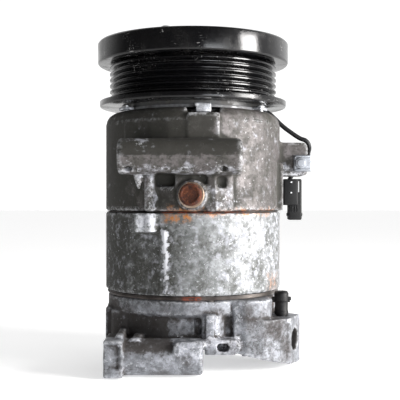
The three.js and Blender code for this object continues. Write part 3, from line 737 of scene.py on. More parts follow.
# %% Rear head
rear_zones = {
    # Besides dirt, these dark boxes paint shade: under the collar on the left, on the left flank and over the
    # top of the lower tube under the skirt.
    "grime_and_shade": (0.3, [
        (0.7, (-50, -51, -1), (-14, -20, 18), 2.5), (0.5, (-36, -66, 1.5), (-11, -50, 9), 2),
        (0.08, (-18, -51, 0), (2, -20, 18), 5), (0.35, (-54, -40, 18), (-36, 10, 30), 6),
        (0.25, (30, -50, -4), (56, -20, 20), 5), (0.4, (17, -48.5, 12), (22, -40, 20), 2),
    ]),
    "oxide_and_light": (0.14, [
        (0.3, (-10, -66, -1), (27, -48, 8), 2), (0.25, (6, -56, 4), (15, -46, 21), 2.5),
        (0.12, (-48, -66, -12), (6, -50, 0), 3), (0.45, (-42, -62, -12), (-37, -64, 13), 1),
        (0.5, (-34, -59, 2), (-28, -54, 10), 1.2), (0.3, (22, -50, 6), (28, -44, 28), 2),
    ]),
    "rust": [(0.35, (44, -34, 20), (50, -20, 28), 3)],
    "bores": [((-47, -54, -2), (5.4, -54, -2), 5.2), ((-21, 57, -2), (21, 57, -2), 5.2),
              ((37, -18.9, 3.3), (59.1, -28.3, 3.3), 6.3)],
}
casting("rear_head", "rear_head_casting", REAR_CAST, [(51.4, 20, 28.4, CAD_SIDES), (48.6, 1, 18, CAD_SIDES)],
        rear_zones, voxel=0.78, lump=0.09)

# %% [markdown]
# ## Pulley
# The pulley is forged steel, turned and painted gloss black. The body is one lathe profile: a broad front
# flange, the floor under the belt, a thin rear flange, and the deep hollow that holds the clutch coil.

# %% Pulley body
def enamel_material():
    material, tree, shader = start_material("pulley_enamel")
    chips = use_group(tree, SCRATCHES, Amount=0.9)
    flakes = use_group(tree, MOTTLE, Scale=210.0, Amount=0.12, Softness=0.02)
    bare = arithmetic(tree, "MAXIMUM", chips, times(tree, flakes, 0.7))
    dust = use_group(tree, MOTTLE, Scale=70.0, Amount=0.4, Softness=0.2)
    film = times(tree, dust, 0.4)
    base = colour_mix(tree, film, (0.0025, 0.0025, 0.003), (0.01, 0.009, 0.008))
    base = colour_mix(tree, bare, base, (0.42, 0.41, 0.4))
    link(tree, base, shader.inputs["Base Color"])
    rough = arithmetic(tree, "ADD", ramp(tree, dust, 0, 1, 0.16, 0.36), times(tree, bare, 0.2))
    link(tree, rough, shader.inputs["Roughness"])
    link(tree, times(tree, bare, 0.8), shader.inputs["Metallic"])
    shader.inputs["Specular IOR Level"].default_value = 0.32
    shader.inputs["Coat Weight"].default_value = 0.12
    shader.inputs["Coat Roughness"].default_value = 0.12
    lumps = noise_field(tree, 260, 3).outputs["Fac"]
    bump(tree, shader, arithmetic(tree, "SUBTRACT", lumps, times(tree, bare, 0.6)), 0.00012, 0.5)
    return material


ENAMEL = enamel_material()
PULLEY = {"low": 140, "high": 179, "flange": 58, "rear_flange": 56.8, "friction": 175, "seat": 25.3,
          "hollow": (28.4, 43.6)}
RIBS = {"first": 145.6, "pitch": 3.56, "count": 6, "peak": 50.8, "root": 47.9}


def pulley_profile():
    low, high, friction, seat = (PULLEY[k] for k in ("low", "high", "friction", "seat"))
    inner_wall, outer_wall = PULLEY["hollow"]
    floor = RIBS["root"] - 0.1
    rear = [(outer_wall, low), (PULLEY["rear_flange"] - 0.4, low), (PULLEY["rear_flange"], low + 0.8),
            (PULLEY["rear_flange"], low + 3.4), (50.6, low + 4.1), (floor, low + 4.4)]
    front = [(floor, high - 13.9), (50.4, high - 13.6), (57.3, high - 13.2), (PULLEY["flange"], high - 12.4),
             (PULLEY["flange"], high - 1.1), (57, high), (53, high), (52.2, high - 0.8), (52.2, friction)]
    inner = [(seat, friction), (seat, 150), (24, 149.7), (24, 147), (inner_wall, 147), (inner_wall, 166.5),
             (outer_wall, 166.5)]
    return rear + front + inner


LATHE_SIDES = 220
body = lathe_mesh("pulley_body", eased(pulley_profile(), 0.35, 2), LATHE_SIDES)
finished("pulley_body", body, ENAMEL, "pulley", "pulley", slot="pulley_paint")

# %% [markdown]
# ## Belt ribs
# A ribbed belt runs on V grooves with a fixed pitch, so the ribs between them are one ring repeated along
# the shaft. Geometry Nodes place that ring: a line of points, one ring on each point, and a real mesh at
# the end.

# %% Node tree for a row of copies
def socket_id(tree, label):
    return next(i.identifier for i in tree.interface.items_tree if i.name == label and i.in_out == "INPUT")


def copies_tree(name, inputs):
    """An empty tree that ends in Realize Instances and Set Material. Returns it with its useful nodes."""
    tree = bpy.data.node_groups.new(name, "GeometryNodeTree")
    tree.interface.new_socket("Geometry", in_out="OUTPUT", socket_type="NodeSocketGeometry")
    for label, kind in inputs:
        tree.interface.new_socket(label, in_out="INPUT", socket_type=kind)
    given = tree.nodes.new("NodeGroupInput")
    piece = tree.nodes.new("GeometryNodeObjectInfo")
    placed = tree.nodes.new("GeometryNodeInstanceOnPoints")
    real = tree.nodes.new("GeometryNodeRealizeInstances")
    coat = tree.nodes.new("GeometryNodeSetMaterial")
    out = tree.nodes.new("NodeGroupOutput")
    tree.links.new(given.outputs["Piece"], piece.inputs["Object"])
    tree.links.new(given.outputs["Material"], coat.inputs["Material"])
    tree.links.new(piece.outputs["Geometry"], placed.inputs["Instance"])
    tree.links.new(placed.outputs["Instances"], real.inputs[0])
    tree.links.new(real.outputs[0], coat.inputs["Geometry"])
    tree.links.new(coat.outputs["Geometry"], out.inputs[0])
    return tree, given, placed


def row_tree():
    inputs = [("Piece", "NodeSocketObject"), ("Count", "NodeSocketInt"), ("Pitch", "NodeSocketFloat"),
              ("First Height", "NodeSocketFloat"), ("Material", "NodeSocketMaterial")]
    tree, given, placed = copies_tree("row_of_copies", inputs)
    line = tree.nodes.new("GeometryNodeMeshLine")
    start = tree.nodes.new("ShaderNodeCombineXYZ")
    step = tree.nodes.new("ShaderNodeCombineXYZ")
    tree.links.new(given.outputs["Count"], line.inputs["Count"])
    tree.links.new(given.outputs["First Height"], start.inputs["Z"])
    tree.links.new(given.outputs["Pitch"], step.inputs["Z"])
    tree.links.new(start.outputs[0], line.inputs["Start Location"])
    tree.links.new(step.outputs[0], line.inputs["Offset"])
    tree.links.new(line.outputs["Mesh"], placed.inputs["Points"])
    return tree


def run_tree(name, tree, piece_mesh, material, values):
    """Gives one copy of a mesh to the tree and returns all its copies as one plain mesh."""
    piece = linked(name + "_single", piece_mesh)
    helper = linked(name + "_helper", bpy.data.meshes.new(name + "_helper"))
    modifier = helper.modifiers.new("copies", "NODES")
    modifier.node_group = tree
    for label, value in {"Piece": piece, "Material": material, **values}.items():
        modifier[socket_id(tree, label)] = value
    helper.update_tag()
    made = baked(helper, name)
    bpy.data.objects.remove(piece)
    return made


ROW = row_tree()
print("node tree:", ROW.name)

# %% Belt ribs
def rib_profile():
    """One rib in section, with its foot sunk a little into the pulley's floor."""
    half = RIBS["pitch"] / 2
    foot, root, peak = RIBS["root"] - 0.4, RIBS["root"], RIBS["peak"]
    return [(foot, -half), (root, -half + 0.2), (peak - 0.3, -0.55), (peak, -0.3),
            (peak, 0.3), (peak - 0.3, 0.55), (root, half - 0.2), (foot, half)]


rib = lathe_mesh("belt_rib", rib_profile(), LATHE_SIDES)
row = {"Count": RIBS["count"], "Pitch": RIBS["pitch"] * MM, "First Height": RIBS["first"] * MM}
finished("belt_ribs", run_tree("belt_ribs", ROW, rib, ENAMEL, row), ENAMEL, "pulley", slot="pulley_paint")

# %% [markdown]
# ## Metals and plastics
# One function makes every plain metal: a base colour, a second colour for stains, fine brushing in the
# roughness and a trace of rust in patches. Plastic and rubber get their own, with dust instead of rust.

# %% Plain finishes
def metal_material(name, colour, stain, roughness, rust=0.0, stained=0.35):
    material, tree, shader = start_material(name)
    patches = use_group(tree, MOTTLE, Scale=130.0, Amount=stained, Softness=0.12)
    base = colour_mix(tree, times(tree, patches, 0.7), colour, stain)
    spots = use_group(tree, SPECKLE, Scale=380.0, Amount=rust)
    base = colour_mix(tree, times(tree, spots, 0.8), base, (0.24, 0.085, 0.03))
    link(tree, base, shader.inputs["Base Color"])
    fine = noise_field(tree, 900, 3).outputs["Fac"]
    rough = ramp(tree, fine, 0.3, 0.7, roughness - 0.06, roughness + 0.08)
    link(tree, arithmetic(tree, "ADD", rough, times(tree, spots, 0.3)), shader.inputs["Roughness"])
    link(tree, ramp(tree, spots, 0, 1, 0.9, 0.2), shader.inputs["Metallic"])
    bump(tree, shader, fine, 0.00005, 0.6)
    return material


def soft_material(name, colour, dust_colour, roughness, dust=0.4):
    material, tree, shader = start_material(name)
    film = use_group(tree, MOTTLE, Scale=110.0, Amount=dust, Softness=0.18)
    grains = use_group(tree, SPECKLE, Scale=800.0, Amount=dust * 0.6)
    base = colour_mix(tree, times(tree, film, 0.5), colour, dust_colour)
    base = colour_mix(tree, times(tree, grains, 0.35), base, dust_colour)
    link(tree, base, shader.inputs["Base Color"])
    link(tree, ramp(tree, film, 0, 1, roughness, roughness + 0.2), shader.inputs["Roughness"])
    shader.inputs["Specular IOR Level"].default_value = 0.3
    bump(tree, shader, noise_field(tree, 1400, 2).outputs["Fac"], 0.00006, 0.5)
    return material


BARE_STEEL = metal_material("machined_steel", (0.5, 0.51, 0.52), (0.2, 0.18, 0.16), 0.32, rust=0.1)
BEARING_STEEL = metal_material("ground_bearing_steel", (0.66, 0.67, 0.69), (0.4, 0.38, 0.34), 0.18,
                               stained=0.2)
ZINC = metal_material("dull_zinc_plate", (0.58, 0.59, 0.6), (0.3, 0.3, 0.3), 0.36, rust=0.06)
CLIP_STEEL = metal_material("weathered_clip_steel", (0.3, 0.315, 0.34), (0.13, 0.13, 0.135), 0.5, rust=0.08)
COPPER = metal_material("dull_copper", (0.55, 0.28, 0.16), (0.2, 0.11, 0.07), 0.38)
SCROLL_ALLOY = metal_material("milled_scroll_alloy", (0.6, 0.61, 0.62), (0.36, 0.36, 0.36), 0.3, stained=0.25)
PLASTIC = soft_material("black_filled_plastic", (0.003, 0.003, 0.0034), (0.014, 0.013, 0.013), 0.5, dust=0.2)
SLEEVE = soft_material("black_cable_sleeve", (0.005, 0.005, 0.006), (0.02, 0.019, 0.018), 0.45, dust=0.3)
RUBBER = soft_material("seal_rubber", (0.012, 0.011, 0.01), (0.05, 0.045, 0.04), 0.55)
print("plain finishes ready")

# %% [markdown]
# ## Gaskets
# A compressor gasket is rubber-coated steel sheet. Its edge shows as two dark lines with a brighter steel
# line between them, and it has rusted where the plug drips. Towards the right its colour is painted paler
# and greyer: painted light where the window lamp strikes it. A flat curve with holes in it, extruded, makes
# the sheet.

# %% Plates from flat outlines
def circle_points(radius, count=LATHE_SIDES, centre=(0, 0), start=0.0, end=2 * math.pi):
    closed = abs(end - start) > 2 * math.pi - 1e-6
    steps = count if closed else count - 1
    angles = [start + (end - start) * i / steps for i in range(count)]
    return [(centre[0] + radius * math.cos(a), centre[1] + radius * math.sin(a)) for a in angles]


def polar(radius, degrees):
    return radius * math.cos(math.radians(degrees)), radius * math.sin(math.radians(degrees))


def arc(radius, count, start, end, centre=(0, 0)):
    """Points on a part of a circle between two angles in degrees."""
    return circle_points(radius, count, centre, math.radians(start), math.radians(end))


def plate_mesh(name, outlines, low, high, ease):
    """A flat sheet between two heights in millimetres. The first outline is its edge, the rest are holes."""
    curve = bpy.data.curves.new(name, "CURVE")
    curve.dimensions = "2D"
    curve.fill_mode = "BOTH"
    for outline in outlines:
        spline = curve.splines.new("POLY")
        spline.points.add(len(outline) - 1)
        for point, (x, y) in zip(spline.points, outline):
            point.co = (x * MM, y * MM, 0, 1)
        spline.use_cyclic_u = True
    curve.extrude = ((high - low) / 2 - ease) * MM
    curve.bevel_depth = ease * MM
    curve.bevel_resolution = 1
    curve.offset = -ease * MM
    made = baked(linked(name + "_helper", curve), name)
    return cleaned(moved(made, z=(low + high) / 2))


print("plates ready")

# %% Gaskets
def gasket_material(name, rust_from, rust_to):
    material, tree, shader = start_material(name)
    place = add(tree, "ShaderNodeSeparateXYZ")
    link(tree, add(tree, "ShaderNodeTexCoord").outputs["Object"], place.inputs[0])
    patches = use_group(tree, MOTTLE, Scale=150.0, Amount=0.5, Softness=0.15)
    base = colour_mix(tree, patches, (0.016, 0.01, 0.008), (0.062, 0.05, 0.045))
    along = times(tree, ramp(tree, place.outputs["X"], rust_from * MM - 0.004, rust_from * MM),
                       ramp(tree, place.outputs["X"], rust_to * MM, rust_to * MM + 0.004, 1.0, 0.0))
    front = ramp(tree, place.outputs["Y"], -0.04, -0.045)
    grains = ramp(tree, noise_field(tree, 420, 4).outputs["Fac"], 0.38, 0.56)
    rust = times(tree, times(tree, along, front), grains)
    base = colour_mix(tree, rust, base, (0.2, 0.038, 0.015))
    # Painted light: towards the right the sheet is made paler, smoother and more metallic, where the window
    # lamp lights it.
    painted_right_light = ramp(tree, place.outputs["X"], 0.022, 0.042)
    base = colour_mix(tree, times(tree, painted_right_light, 0.8), base, (0.19, 0.17, 0.155))
    link(tree, base, shader.inputs["Base Color"])
    link(tree, ramp(tree, painted_right_light, 0, 1, 0.62, 0.3), shader.inputs["Roughness"])
    link(tree, ramp(tree, painted_right_light, 0, 1, 0.2, 0.8), shader.inputs["Metallic"])
    bump(tree, shader, grains, 0.0001, 0.6)
    return material


BOLTS = {"count": 5, "pitch": 47.4, "hole": 3.25, "first": 282}
GASKET_BORE = 43.6
bolt_angles = [BOLTS["first"] + 360 / BOLTS["count"] * i for i in range(BOLTS["count"])]
bolt_holes = [circle_points(BOLTS["hole"], 24, polar(BOLTS["pitch"], a)) for a in bolt_angles]


def gasket(name, radius, low, high, material):
    """Three thin sheets. The middle one is steel and stands a hair further out than the two coats."""
    third = (high - low) / 3
    sheets = [
        plate_mesh(name, [circle_points(radius - back), circle_points(GASKET_BORE), *bolt_holes],
                   low + third * i, low + third * (i + 1), 0.05)
        for i, back in enumerate((0.5, 0, 0.5))
    ]
    finished(name + "_sheets", joined(name, *sheets), material, "casing", name, slot="gasket")


gasket("front_gasket", 52.5, 76.9, 77.3, gasket_material("front_gasket_sheet", -14, 50))
gasket("rear_gasket", 52, 28.3, 30.3, gasket_material("rear_gasket_sheet", -3, 3))

# %% [markdown]
# ## Rings of copies
# Bolts, screws, rivets and bearing balls all stand on pitch circles. One more node tree puts copies of a
# piece on a circle: it takes the count, the pitch radius and the first angle, and turns each copy to face
# outwards.

# %% Node tree for a ring of copies
def ring_tree():
    inputs = [("Piece", "NodeSocketObject"), ("Count", "NodeSocketInt"), ("Pitch Radius", "NodeSocketFloat"),
              ("First Angle", "NodeSocketFloat"), ("Material", "NodeSocketMaterial")]
    tree, given, placed = copies_tree("ring_of_copies", inputs)
    points = tree.nodes.new("GeometryNodePoints")
    index = tree.nodes.new("GeometryNodeInputIndex")
    step = tree.nodes.new("ShaderNodeMath")
    step.operation = "DIVIDE"
    step.inputs[0].default_value = 2 * math.pi
    angle = tree.nodes.new("ShaderNodeMath")
    angle.operation = "MULTIPLY_ADD"
    out = tree.nodes.new("ShaderNodeCombineXYZ")
    turn = tree.nodes.new("ShaderNodeCombineXYZ")
    place = tree.nodes.new("ShaderNodeVectorRotate")
    place.rotation_type = "Z_AXIS"
    tree.links.new(given.outputs["Count"], points.inputs["Count"])
    tree.links.new(given.outputs["Count"], step.inputs[1])
    tree.links.new(index.outputs[0], angle.inputs[0])
    tree.links.new(step.outputs[0], angle.inputs[1])
    tree.links.new(given.outputs["First Angle"], angle.inputs[2])
    tree.links.new(given.outputs["Pitch Radius"], out.inputs["X"])
    tree.links.new(out.outputs[0], place.inputs["Vector"])
    tree.links.new(angle.outputs[0], place.inputs["Angle"])
    tree.links.new(place.outputs[0], points.inputs["Position"])
    tree.links.new(angle.outputs[0], turn.inputs["Z"])
    tree.links.new(turn.outputs[0], placed.inputs["Rotation"])
    tree.links.new(points.outputs[0], placed.inputs["Points"])
    return tree


RING = ring_tree()


def ring_of(name, piece_mesh, count, radius, first, material):
    values = {"Count": count, "Pitch Radius": radius * MM, "First Angle": math.radians(first)}
    return run_tree(name, RING, piece_mesh, material, values)


print("node tree:", RING.name)

# %% [markdown]
# ## Through bolts
# Five long bolts hold the three castings together. Their heads sit in pockets in the rear face, each with a
# hexagon socket, so the ring tree gets one bolt: a turned body with a socket cut by a six-sided prism. Oil
# and dirt have darkened their zinc.

# %% Through bolts
def prism_mesh(name, radius, low, high, ease):
    """A six-sided prism."""
    corners = [polar(radius, 60 * i + 30) for i in range(6)]
    return plate_mesh(name, [corners], low, high, ease)


def without(mesh, name, *cutters):
    """Cuts other solids out of a mesh."""
    helpers = [linked(name + "_cutter", cutter) for cutter in cutters]
    steps = [("BOOLEAN", {"object": h, "operation": "DIFFERENCE", "solver": "EXACT"}) for h in helpers]
    made = applied(mesh, name, *steps)
    for helper in helpers:
        bpy.data.objects.remove(helper)
    return made


def socket_bolt():
    outline = [(0, 5.4), (4.4, 5.4), (5, 6), (5, 12.3), (3, 12.3), (3, 91.4), (2.4, 92), (0, 92)]
    bolt = lathe_mesh("through_bolt", eased(outline, 0.25), 40)
    return without(bolt, "through_bolt", prism_mesh("socket", 2.9, 5, 8.6, 0.02))


OILY_ZINC = metal_material("oily_zinc_bolts", (0.09, 0.085, 0.08), (0.035, 0.03, 0.025), 0.55, rust=0.1)
bolts = ring_of("through_bolts", socket_bolt(), BOLTS["count"], BOLTS["pitch"], BOLTS["first"], OILY_ZINC)
bolt_parts = [f"through_bolt_{i + 1}" for i in range(BOLTS["count"])]
finished("through_bolts", bolts, OILY_ZINC, "casing", *bolt_parts, slot="zinc_plate")

# %% [markdown]
# ## Clutch coil
# A steel channel holds the winding inside the pulley. Its mounting plate has five small tabs, and a tongue
# drops into the notch of the front casting. Only the tabs and the tongue are bare; the rest is painted
# black.

# %% Clutch coil
def coil_case_material():
    material, tree, shader = start_material("coil_case_paint")
    place = add(tree, "ShaderNodeTexCoord").outputs["Object"]
    flat = add(tree, "ShaderNodeVectorMath", operation="MULTIPLY")
    flat.inputs[1].default_value = (1, 1, 0)
    link(tree, place, flat.inputs[0])
    radius = add(tree, "ShaderNodeVectorMath", operation="LENGTH")
    link(tree, flat.outputs["Vector"], radius.inputs[0])
    bare = ramp(tree, radius.outputs["Value"], 0.0428, 0.0434)
    patches = use_group(tree, MOTTLE, Scale=200.0, Amount=0.45, Softness=0.1)
    zinc = colour_mix(tree, patches, (0.62, 0.63, 0.66), (0.3, 0.31, 0.33))
    black = colour_mix(tree, patches, (0.012, 0.012, 0.012), (0.04, 0.037, 0.033))
    link(tree, colour_mix(tree, bare, black, zinc), shader.inputs["Base Color"])
    link(tree, times(tree, bare, 0.75), shader.inputs["Metallic"])
    link(tree, ramp(tree, patches, 0, 1, 0.36, 0.6), shader.inputs["Roughness"])
    bump(tree, shader, noise_field(tree, 700, 3).outputs["Fac"], 0.0001, 0.5)
    return material


COIL = {"inner": 30, "outer": 41.8, "foot": 136.3, "plate": 138, "mouth": 163, "rim": 43,
        "tabs": (31, 91, 211, 277, 331), "tab_reach": 48.3, "tab_half": 4.5}
COIL_SCREWS = {"count": 3, "pitch": 45.4, "first": 91}
TONGUE = {"x": (2, 10.5), "y": (-48.2, -41), "foot": 132.8}


def tab_outline(degrees):
    """The plate's edge where a tab stands out: its two outer corners, rounded."""
    reach, half = COIL["tab_reach"], COIL["tab_half"]
    along = Vector(polar(1, degrees))
    across = Vector((-along.y, along.x))
    points = []
    for side in (-1, 1):
        corner = along * (reach - 1) + across * side * (half - 1)
        first = degrees - 90 if side < 0 else degrees
        spread = [first + 30 * k for k in range(4)]
        points += [tuple(corner + Vector(polar(1, a))) for a in spread]
    return points


def coil_plate_outline():
    points = []
    tab_width = math.degrees(math.asin(COIL["tab_half"] / COIL["rim"]))
    tabs = sorted(COIL["tabs"])
    for i, tab in enumerate(tabs):
        points += tab_outline(tab)
        after = tabs[(i + 1) % len(tabs)] + (360 if i == len(tabs) - 1 else 0)
        points += arc(COIL["rim"], 14, tab + tab_width, after - tab_width)
    return points


def coil_case():
    inner, outer, mouth = COIL["inner"], COIL["outer"], COIL["mouth"]
    channel = [(inner, 137.6), (outer, 137.6), (outer, mouth), (39.6, mouth), (39.6, 141), (32.2, 141),
               (32.2, mouth), (inner, mouth)]
    screw_angles = [COIL_SCREWS["first"] + 120 * i for i in range(COIL_SCREWS["count"])]
    holes = [circle_points(2.1, 24, polar(COIL_SCREWS["pitch"], a)) for a in screw_angles]
    lead_hole = circle_points(2.2, 20, (43.2, 3))
    plate = plate_mesh("coil_plate", [coil_plate_outline(), circle_points(22.5, 120), *holes, lead_hole],
                       COIL["foot"], COIL["plate"], 0.15)
    tongue = block_mesh("coil_tongue", (TONGUE["x"][0], TONGUE["y"][0], TONGUE["foot"]),
                        (TONGUE["x"][1], TONGUE["y"][1], COIL["plate"] - 0.05), 0.6)
    return joined("coil_case", lathe_mesh("coil_channel", eased(channel, 0.2, 2), 120), plate, tongue)


finished("coil_case", coil_case(), coil_case_material(), "casing", "coil_housing", slot="zinc_plate")


def coil_screw():
    outline = [(0, 138.3), (2.7, 138.3), (2.7, 139), (1.6, 139.6), (0, 139.6)]
    head = lathe_mesh("coil_screw", eased(outline, 0.15), 28)
    shank = lathe_mesh("coil_screw_shank", eased([(0, 129), (1.8, 129.6), (1.8, 138.4), (0, 138.4)], 0.1), 20)
    slot_cut = block_mesh("screw_slot", (-3, -0.4, 139.1), (3, 0.4, 141), 0.02)
    return joined("coil_screw", without(head, "coil_screw", slot_cut), shank)


screws = ring_of("coil_screws", coil_screw(), COIL_SCREWS["count"], COIL_SCREWS["pitch"],
                 COIL_SCREWS["first"], ZINC)
finished("coil_screws", screws, ZINC, "casing", "coil_screw_1", "coil_screw_2", "coil_screw_3",
         slot="zinc_plate")

# %% [markdown]
# ## Clutch face
# When the coil is switched on it pulls the armature plate on to the pulley's face. Three leaf springs carry
# the plate from the arms of the hub. All of it is pressed sheet metal, so it is drawn as flat outlines and
# extruded.

# %% Armature plate
ARMATURE = {"low": 175.5, "high": 179, "inner": 26, "outer": 49.5, "slot": (34.2, 36.6)}
HUB = {"low": 180.3, "high": 183.3, "arm": 31, "sleeve": 11.5, "bore": 7.3}
SPRING = {"low": 179.4, "high": 179.9, "rivet": 39, "reach": 75, "starts": (0, 120, 240)}
ARM_SEAT = 2.2
RIVET_SEAT = 2.4


def arc_slot(inner, outer, start, end):
    """A curved slot with round ends."""
    middle, half = (inner + outer) / 2, (outer - inner) / 2
    points = arc(outer, 16, start, end)
    points += arc(half, 6, end, end + 180, polar(middle, end))
    points += arc(inner, 16, end, start)
    points += arc(half, 6, start + 180, start + 360, polar(middle, start))
    return points


def armature():
    slots = [arc_slot(*ARMATURE["slot"], a + 13, a + 47) for a in SPRING["starts"]]
    rivets = [polar(SPRING["rivet"], a + SPRING["reach"]) for a in SPRING["starts"]]
    seats = [circle_points(RIVET_SEAT, 24, place) for place in rivets]
    outlines = [circle_points(ARMATURE["outer"], 160), circle_points(ARMATURE["inner"], 120), *slots, *seats]
    return plate_mesh("armature_plate", outlines, ARMATURE["low"], ARMATURE["high"], 0.3)


finished("armature_disc", armature(), BARE_STEEL, "armature", "armature_plate", slot="bare_steel")

# %% Hub, springs and rivets
def hub_outline():
    points = []
    for a in SPRING["starts"]:
        points += arc(6, 14, a - 60, a + 60, polar(HUB["arm"], a))
        points += arc(20, 10, a + 38, a + 82)
    return points


def hub():
    seats = [circle_points(ARM_SEAT, 24, polar(HUB["arm"], a)) for a in SPRING["starts"]]
    outlines = [hub_outline(), circle_points(HUB["bore"] + 0.5, 60), *seats]
    plate = plate_mesh("hub_plate", outlines, HUB["low"], HUB["high"], 0.3)
    sleeve = [(HUB["bore"], 160), (HUB["sleeve"], 160), (HUB["sleeve"], 182.9), (HUB["bore"], 182.9)]
    return joined("clutch_hub", plate, lathe_mesh("hub_sleeve", eased(sleeve, 0.3), 80))


def leaf_spring(start):
    """A strip that leaves the hub's arm and curves round to the armature's rivet, with both ends rounded."""
    end = start + SPRING["reach"]
    points = arc(3.4, 12, start + 150, start + 330, polar(HUB["arm"], start))
    points += arc(41.4, 24, start + 8, end)
    points += arc(2.4, 8, end, end + 180, polar(SPRING["rivet"], end))
    points += arc(36.6, 20, end, start + 24)
    holes = [circle_points(ARM_SEAT, 20, polar(HUB["arm"], start)),
             circle_points(RIVET_SEAT - 0.3, 20, polar(SPRING["rivet"], end))]
    return plate_mesh("leaf_spring", [points, *holes], SPRING["low"], SPRING["high"], 0.06)


def rivet():
    foot, top = ARMATURE["high"] + 0.05, HUB["high"]
    outline = [(0, foot), (1.9, foot), (1.9, top + 0.3), (3.3, top + 0.3), (3.1, top + 1.2),
               (2, top + 1.9), (0, top + 1.9)]
    return lathe_mesh("rivet", eased(outline, 0.3), 28)


finished("clutch_hub_forging", hub(), BARE_STEEL, "crank", "clutch_hub", slot="bare_steel")
for number, start in enumerate(SPRING["starts"], 1):
    finished(f"leaf_spring_strip_{number}", leaf_spring(start), BARE_STEEL, "crank", f"leaf_spring_{number}",
             slot="bare_steel")
rivets = ring_of("spring_rivets", rivet(), 3, HUB["arm"], 0, ZINC)
finished("spring_rivets", rivets, ZINC, "crank", "spring_rivet_1", "spring_rivet_2", "spring_rivet_3",
         slot="zinc_plate")

# %% Hub bolt
def hub_bolt():
    head = prism_mesh("hub_bolt", 6, HUB["high"] + 0.3, HUB["high"] + 4, 0.4)
    dome = lathe_mesh("hub_bolt_dome", eased([(0, 158), (3, 158.5), (3, 185), (0, 185)], 0.2), 32)
    return joined("hub_bolt", head, dome)


finished("hub_bolt_steel", hub_bolt(), ZINC, "crank", "hub_bolt", slot="zinc_plate")

# %% [markdown]
# ## Bearings
# The caged balls are a rule again: eight round the pulley's bearing and seven round the main one. Each cage
# is a thin turned ring that runs through the balls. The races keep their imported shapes.

# %% Ball cages
def ball_cage(name, inner, outer, low, high, balls):
    middle, radius, z = (inner + outer) / 2, (outer - inner) * 0.27, (low + high) / 2
    bm = bmesh.new()
    bmesh.ops.create_uvsphere(bm, u_segments=24, v_segments=14, radius=radius * MM)
    ball = bpy.data.meshes.new(name + "_ball")
    bm.to_mesh(ball)
    bm.free()
    moved(ball, z=z)
    lip, half = radius * 0.55 - 0.45, 0.45 * radius
    low, high = z - half, z + half
    band = [(middle - lip, low), (middle + lip, low), (middle + lip, high), (middle - lip, high)]
    ring = ring_of(name, ball, balls, middle, 0, BEARING_STEEL)
    return joined(name, ring, lathe_mesh(name, eased(band, 0.2), 90))


finished("pulley_balls", ball_cage("pulley_balls", 17.5, 25, 150, 170, 8), BEARING_STEEL, "pulley_cage",
         "pulley_bearing_balls", slot="bearing_steel")
finished("main_balls", ball_cage("main_balls", 12.5, 26, 92, 107, 7), BEARING_STEEL, "main_cage",
         "main_bearing_balls", slot="bearing_steel")

# %% [markdown]
# ## Drain plug
# The oil plug is plain steel and has rusted through its plating: a turned head with a chamfer and a shallow
# recess, on a copper washer. It leans, as its boss does, so it is turned upright and then laid along its
# axis.

# %% Rust finish
def rust_material():
    material, tree, shader = start_material("deep_rust")
    coarse = noise_field(tree, 330, 7, 0.7).outputs["Fac"]
    fine = noise_field(tree, 1300, 5, 0.7).outputs["Fac"]
    base = colour_mix(tree, ramp(tree, coarse, 0.4, 0.6), (0.032, 0.008, 0.004), (0.095, 0.024, 0.008))
    base = colour_mix(tree, ramp(tree, fine, 0.56, 0.66), base, (0.2, 0.066, 0.022))
    base = colour_mix(tree, ramp(tree, fine, 0.42, 0.34), base, (0.02, 0.008, 0.006))
    link(tree, base, shader.inputs["Base Color"])
    link(tree, ramp(tree, coarse, 0.3, 0.7, 0.7, 0.95), shader.inputs["Roughness"])
    link(tree, ramp(tree, coarse, 0.3, 0.7, 0.25, 0.05), shader.inputs["Metallic"])
    bump(tree, shader, arithmetic(tree, "ADD", coarse, fine), 0.0004, 0.8)
    return material


RUST = rust_material()
print("finish:", RUST.name)

# %% Plug and washer
PLUG = {"foot": Vector((1.1, -50, 86)), "lean": 12, "tip": 5}
plug_lean, plug_tip = (math.sin(math.radians(PLUG[k])) for k in ("lean", "tip"))
plug_axis = Vector((-plug_lean, -1, plug_tip)).normalized()


def along_plug(mesh):
    """Carries a mesh turned about Z, in millimetres along the plug, to the plug's place."""
    turn = Vector((0, 0, 1)).rotation_difference(plug_axis).to_matrix()
    mesh.transform(turn.to_4x4())
    return moved(mesh, *PLUG["foot"])


plug_outline = [(0, -2.5), (3.9, -2.5), (3.9, 8.4), (6.2, 8.4), (6.2, 10.7), (5.5, 11.5), (4.7, 11.6),
                (4.3, 11.1), (0, 11.0)]
plug = along_plug(lathe_mesh("drain_plug", eased(plug_outline, 0.35), 72))
finished("drain_plug", plug, RUST, "casing", "oil_plug", slot="rusted_steel")
washer_outline = [(4.3, 6.8), (7.2, 6.8), (7.2, 8.1), (4.3, 8.1)]
WASHER = metal_material("weathered_washer", (0.62, 0.5, 0.4), (0.3, 0.2, 0.14), 0.42, rust=0.35, stained=0.5)
washer = along_plug(lathe_mesh("drain_washer", eased(washer_outline, 0.4), 72))
finished("drain_washer", washer, WASHER, "casing", "plug_washer", slot="copper")

# %% [markdown]
# ## Coil lead
# The lead leaves the coil under the pulley, runs over the front casting's shoulder, round behind the side
# boss and into the back of the connector. A smooth curve through the points of that route, with a round
# section, makes it.

# %% Coil lead
LEAD_ROUTE = [
    (43.2, 3, 138.6), (45.8, 3, 137.9), (50, 3, 134.6), (54.4, 2.6, 130.2),
    (60.5, 2.2, 125.4), (66, 2, 121.8), (70, 2, 120), (71.8, 3, 116.6),
    (71.7, 6.4, 113), (71.9, 10.6, 110), (70.8, 14.4, 107.4), (67, 15.8, 103.6),
    (62.6, 14.8, 99.4), (60.4, 12, 95.4), (60, 8.8, 92.6), (60, 6.6, 91.4),
]
LEAD_RADIUS = 1.38


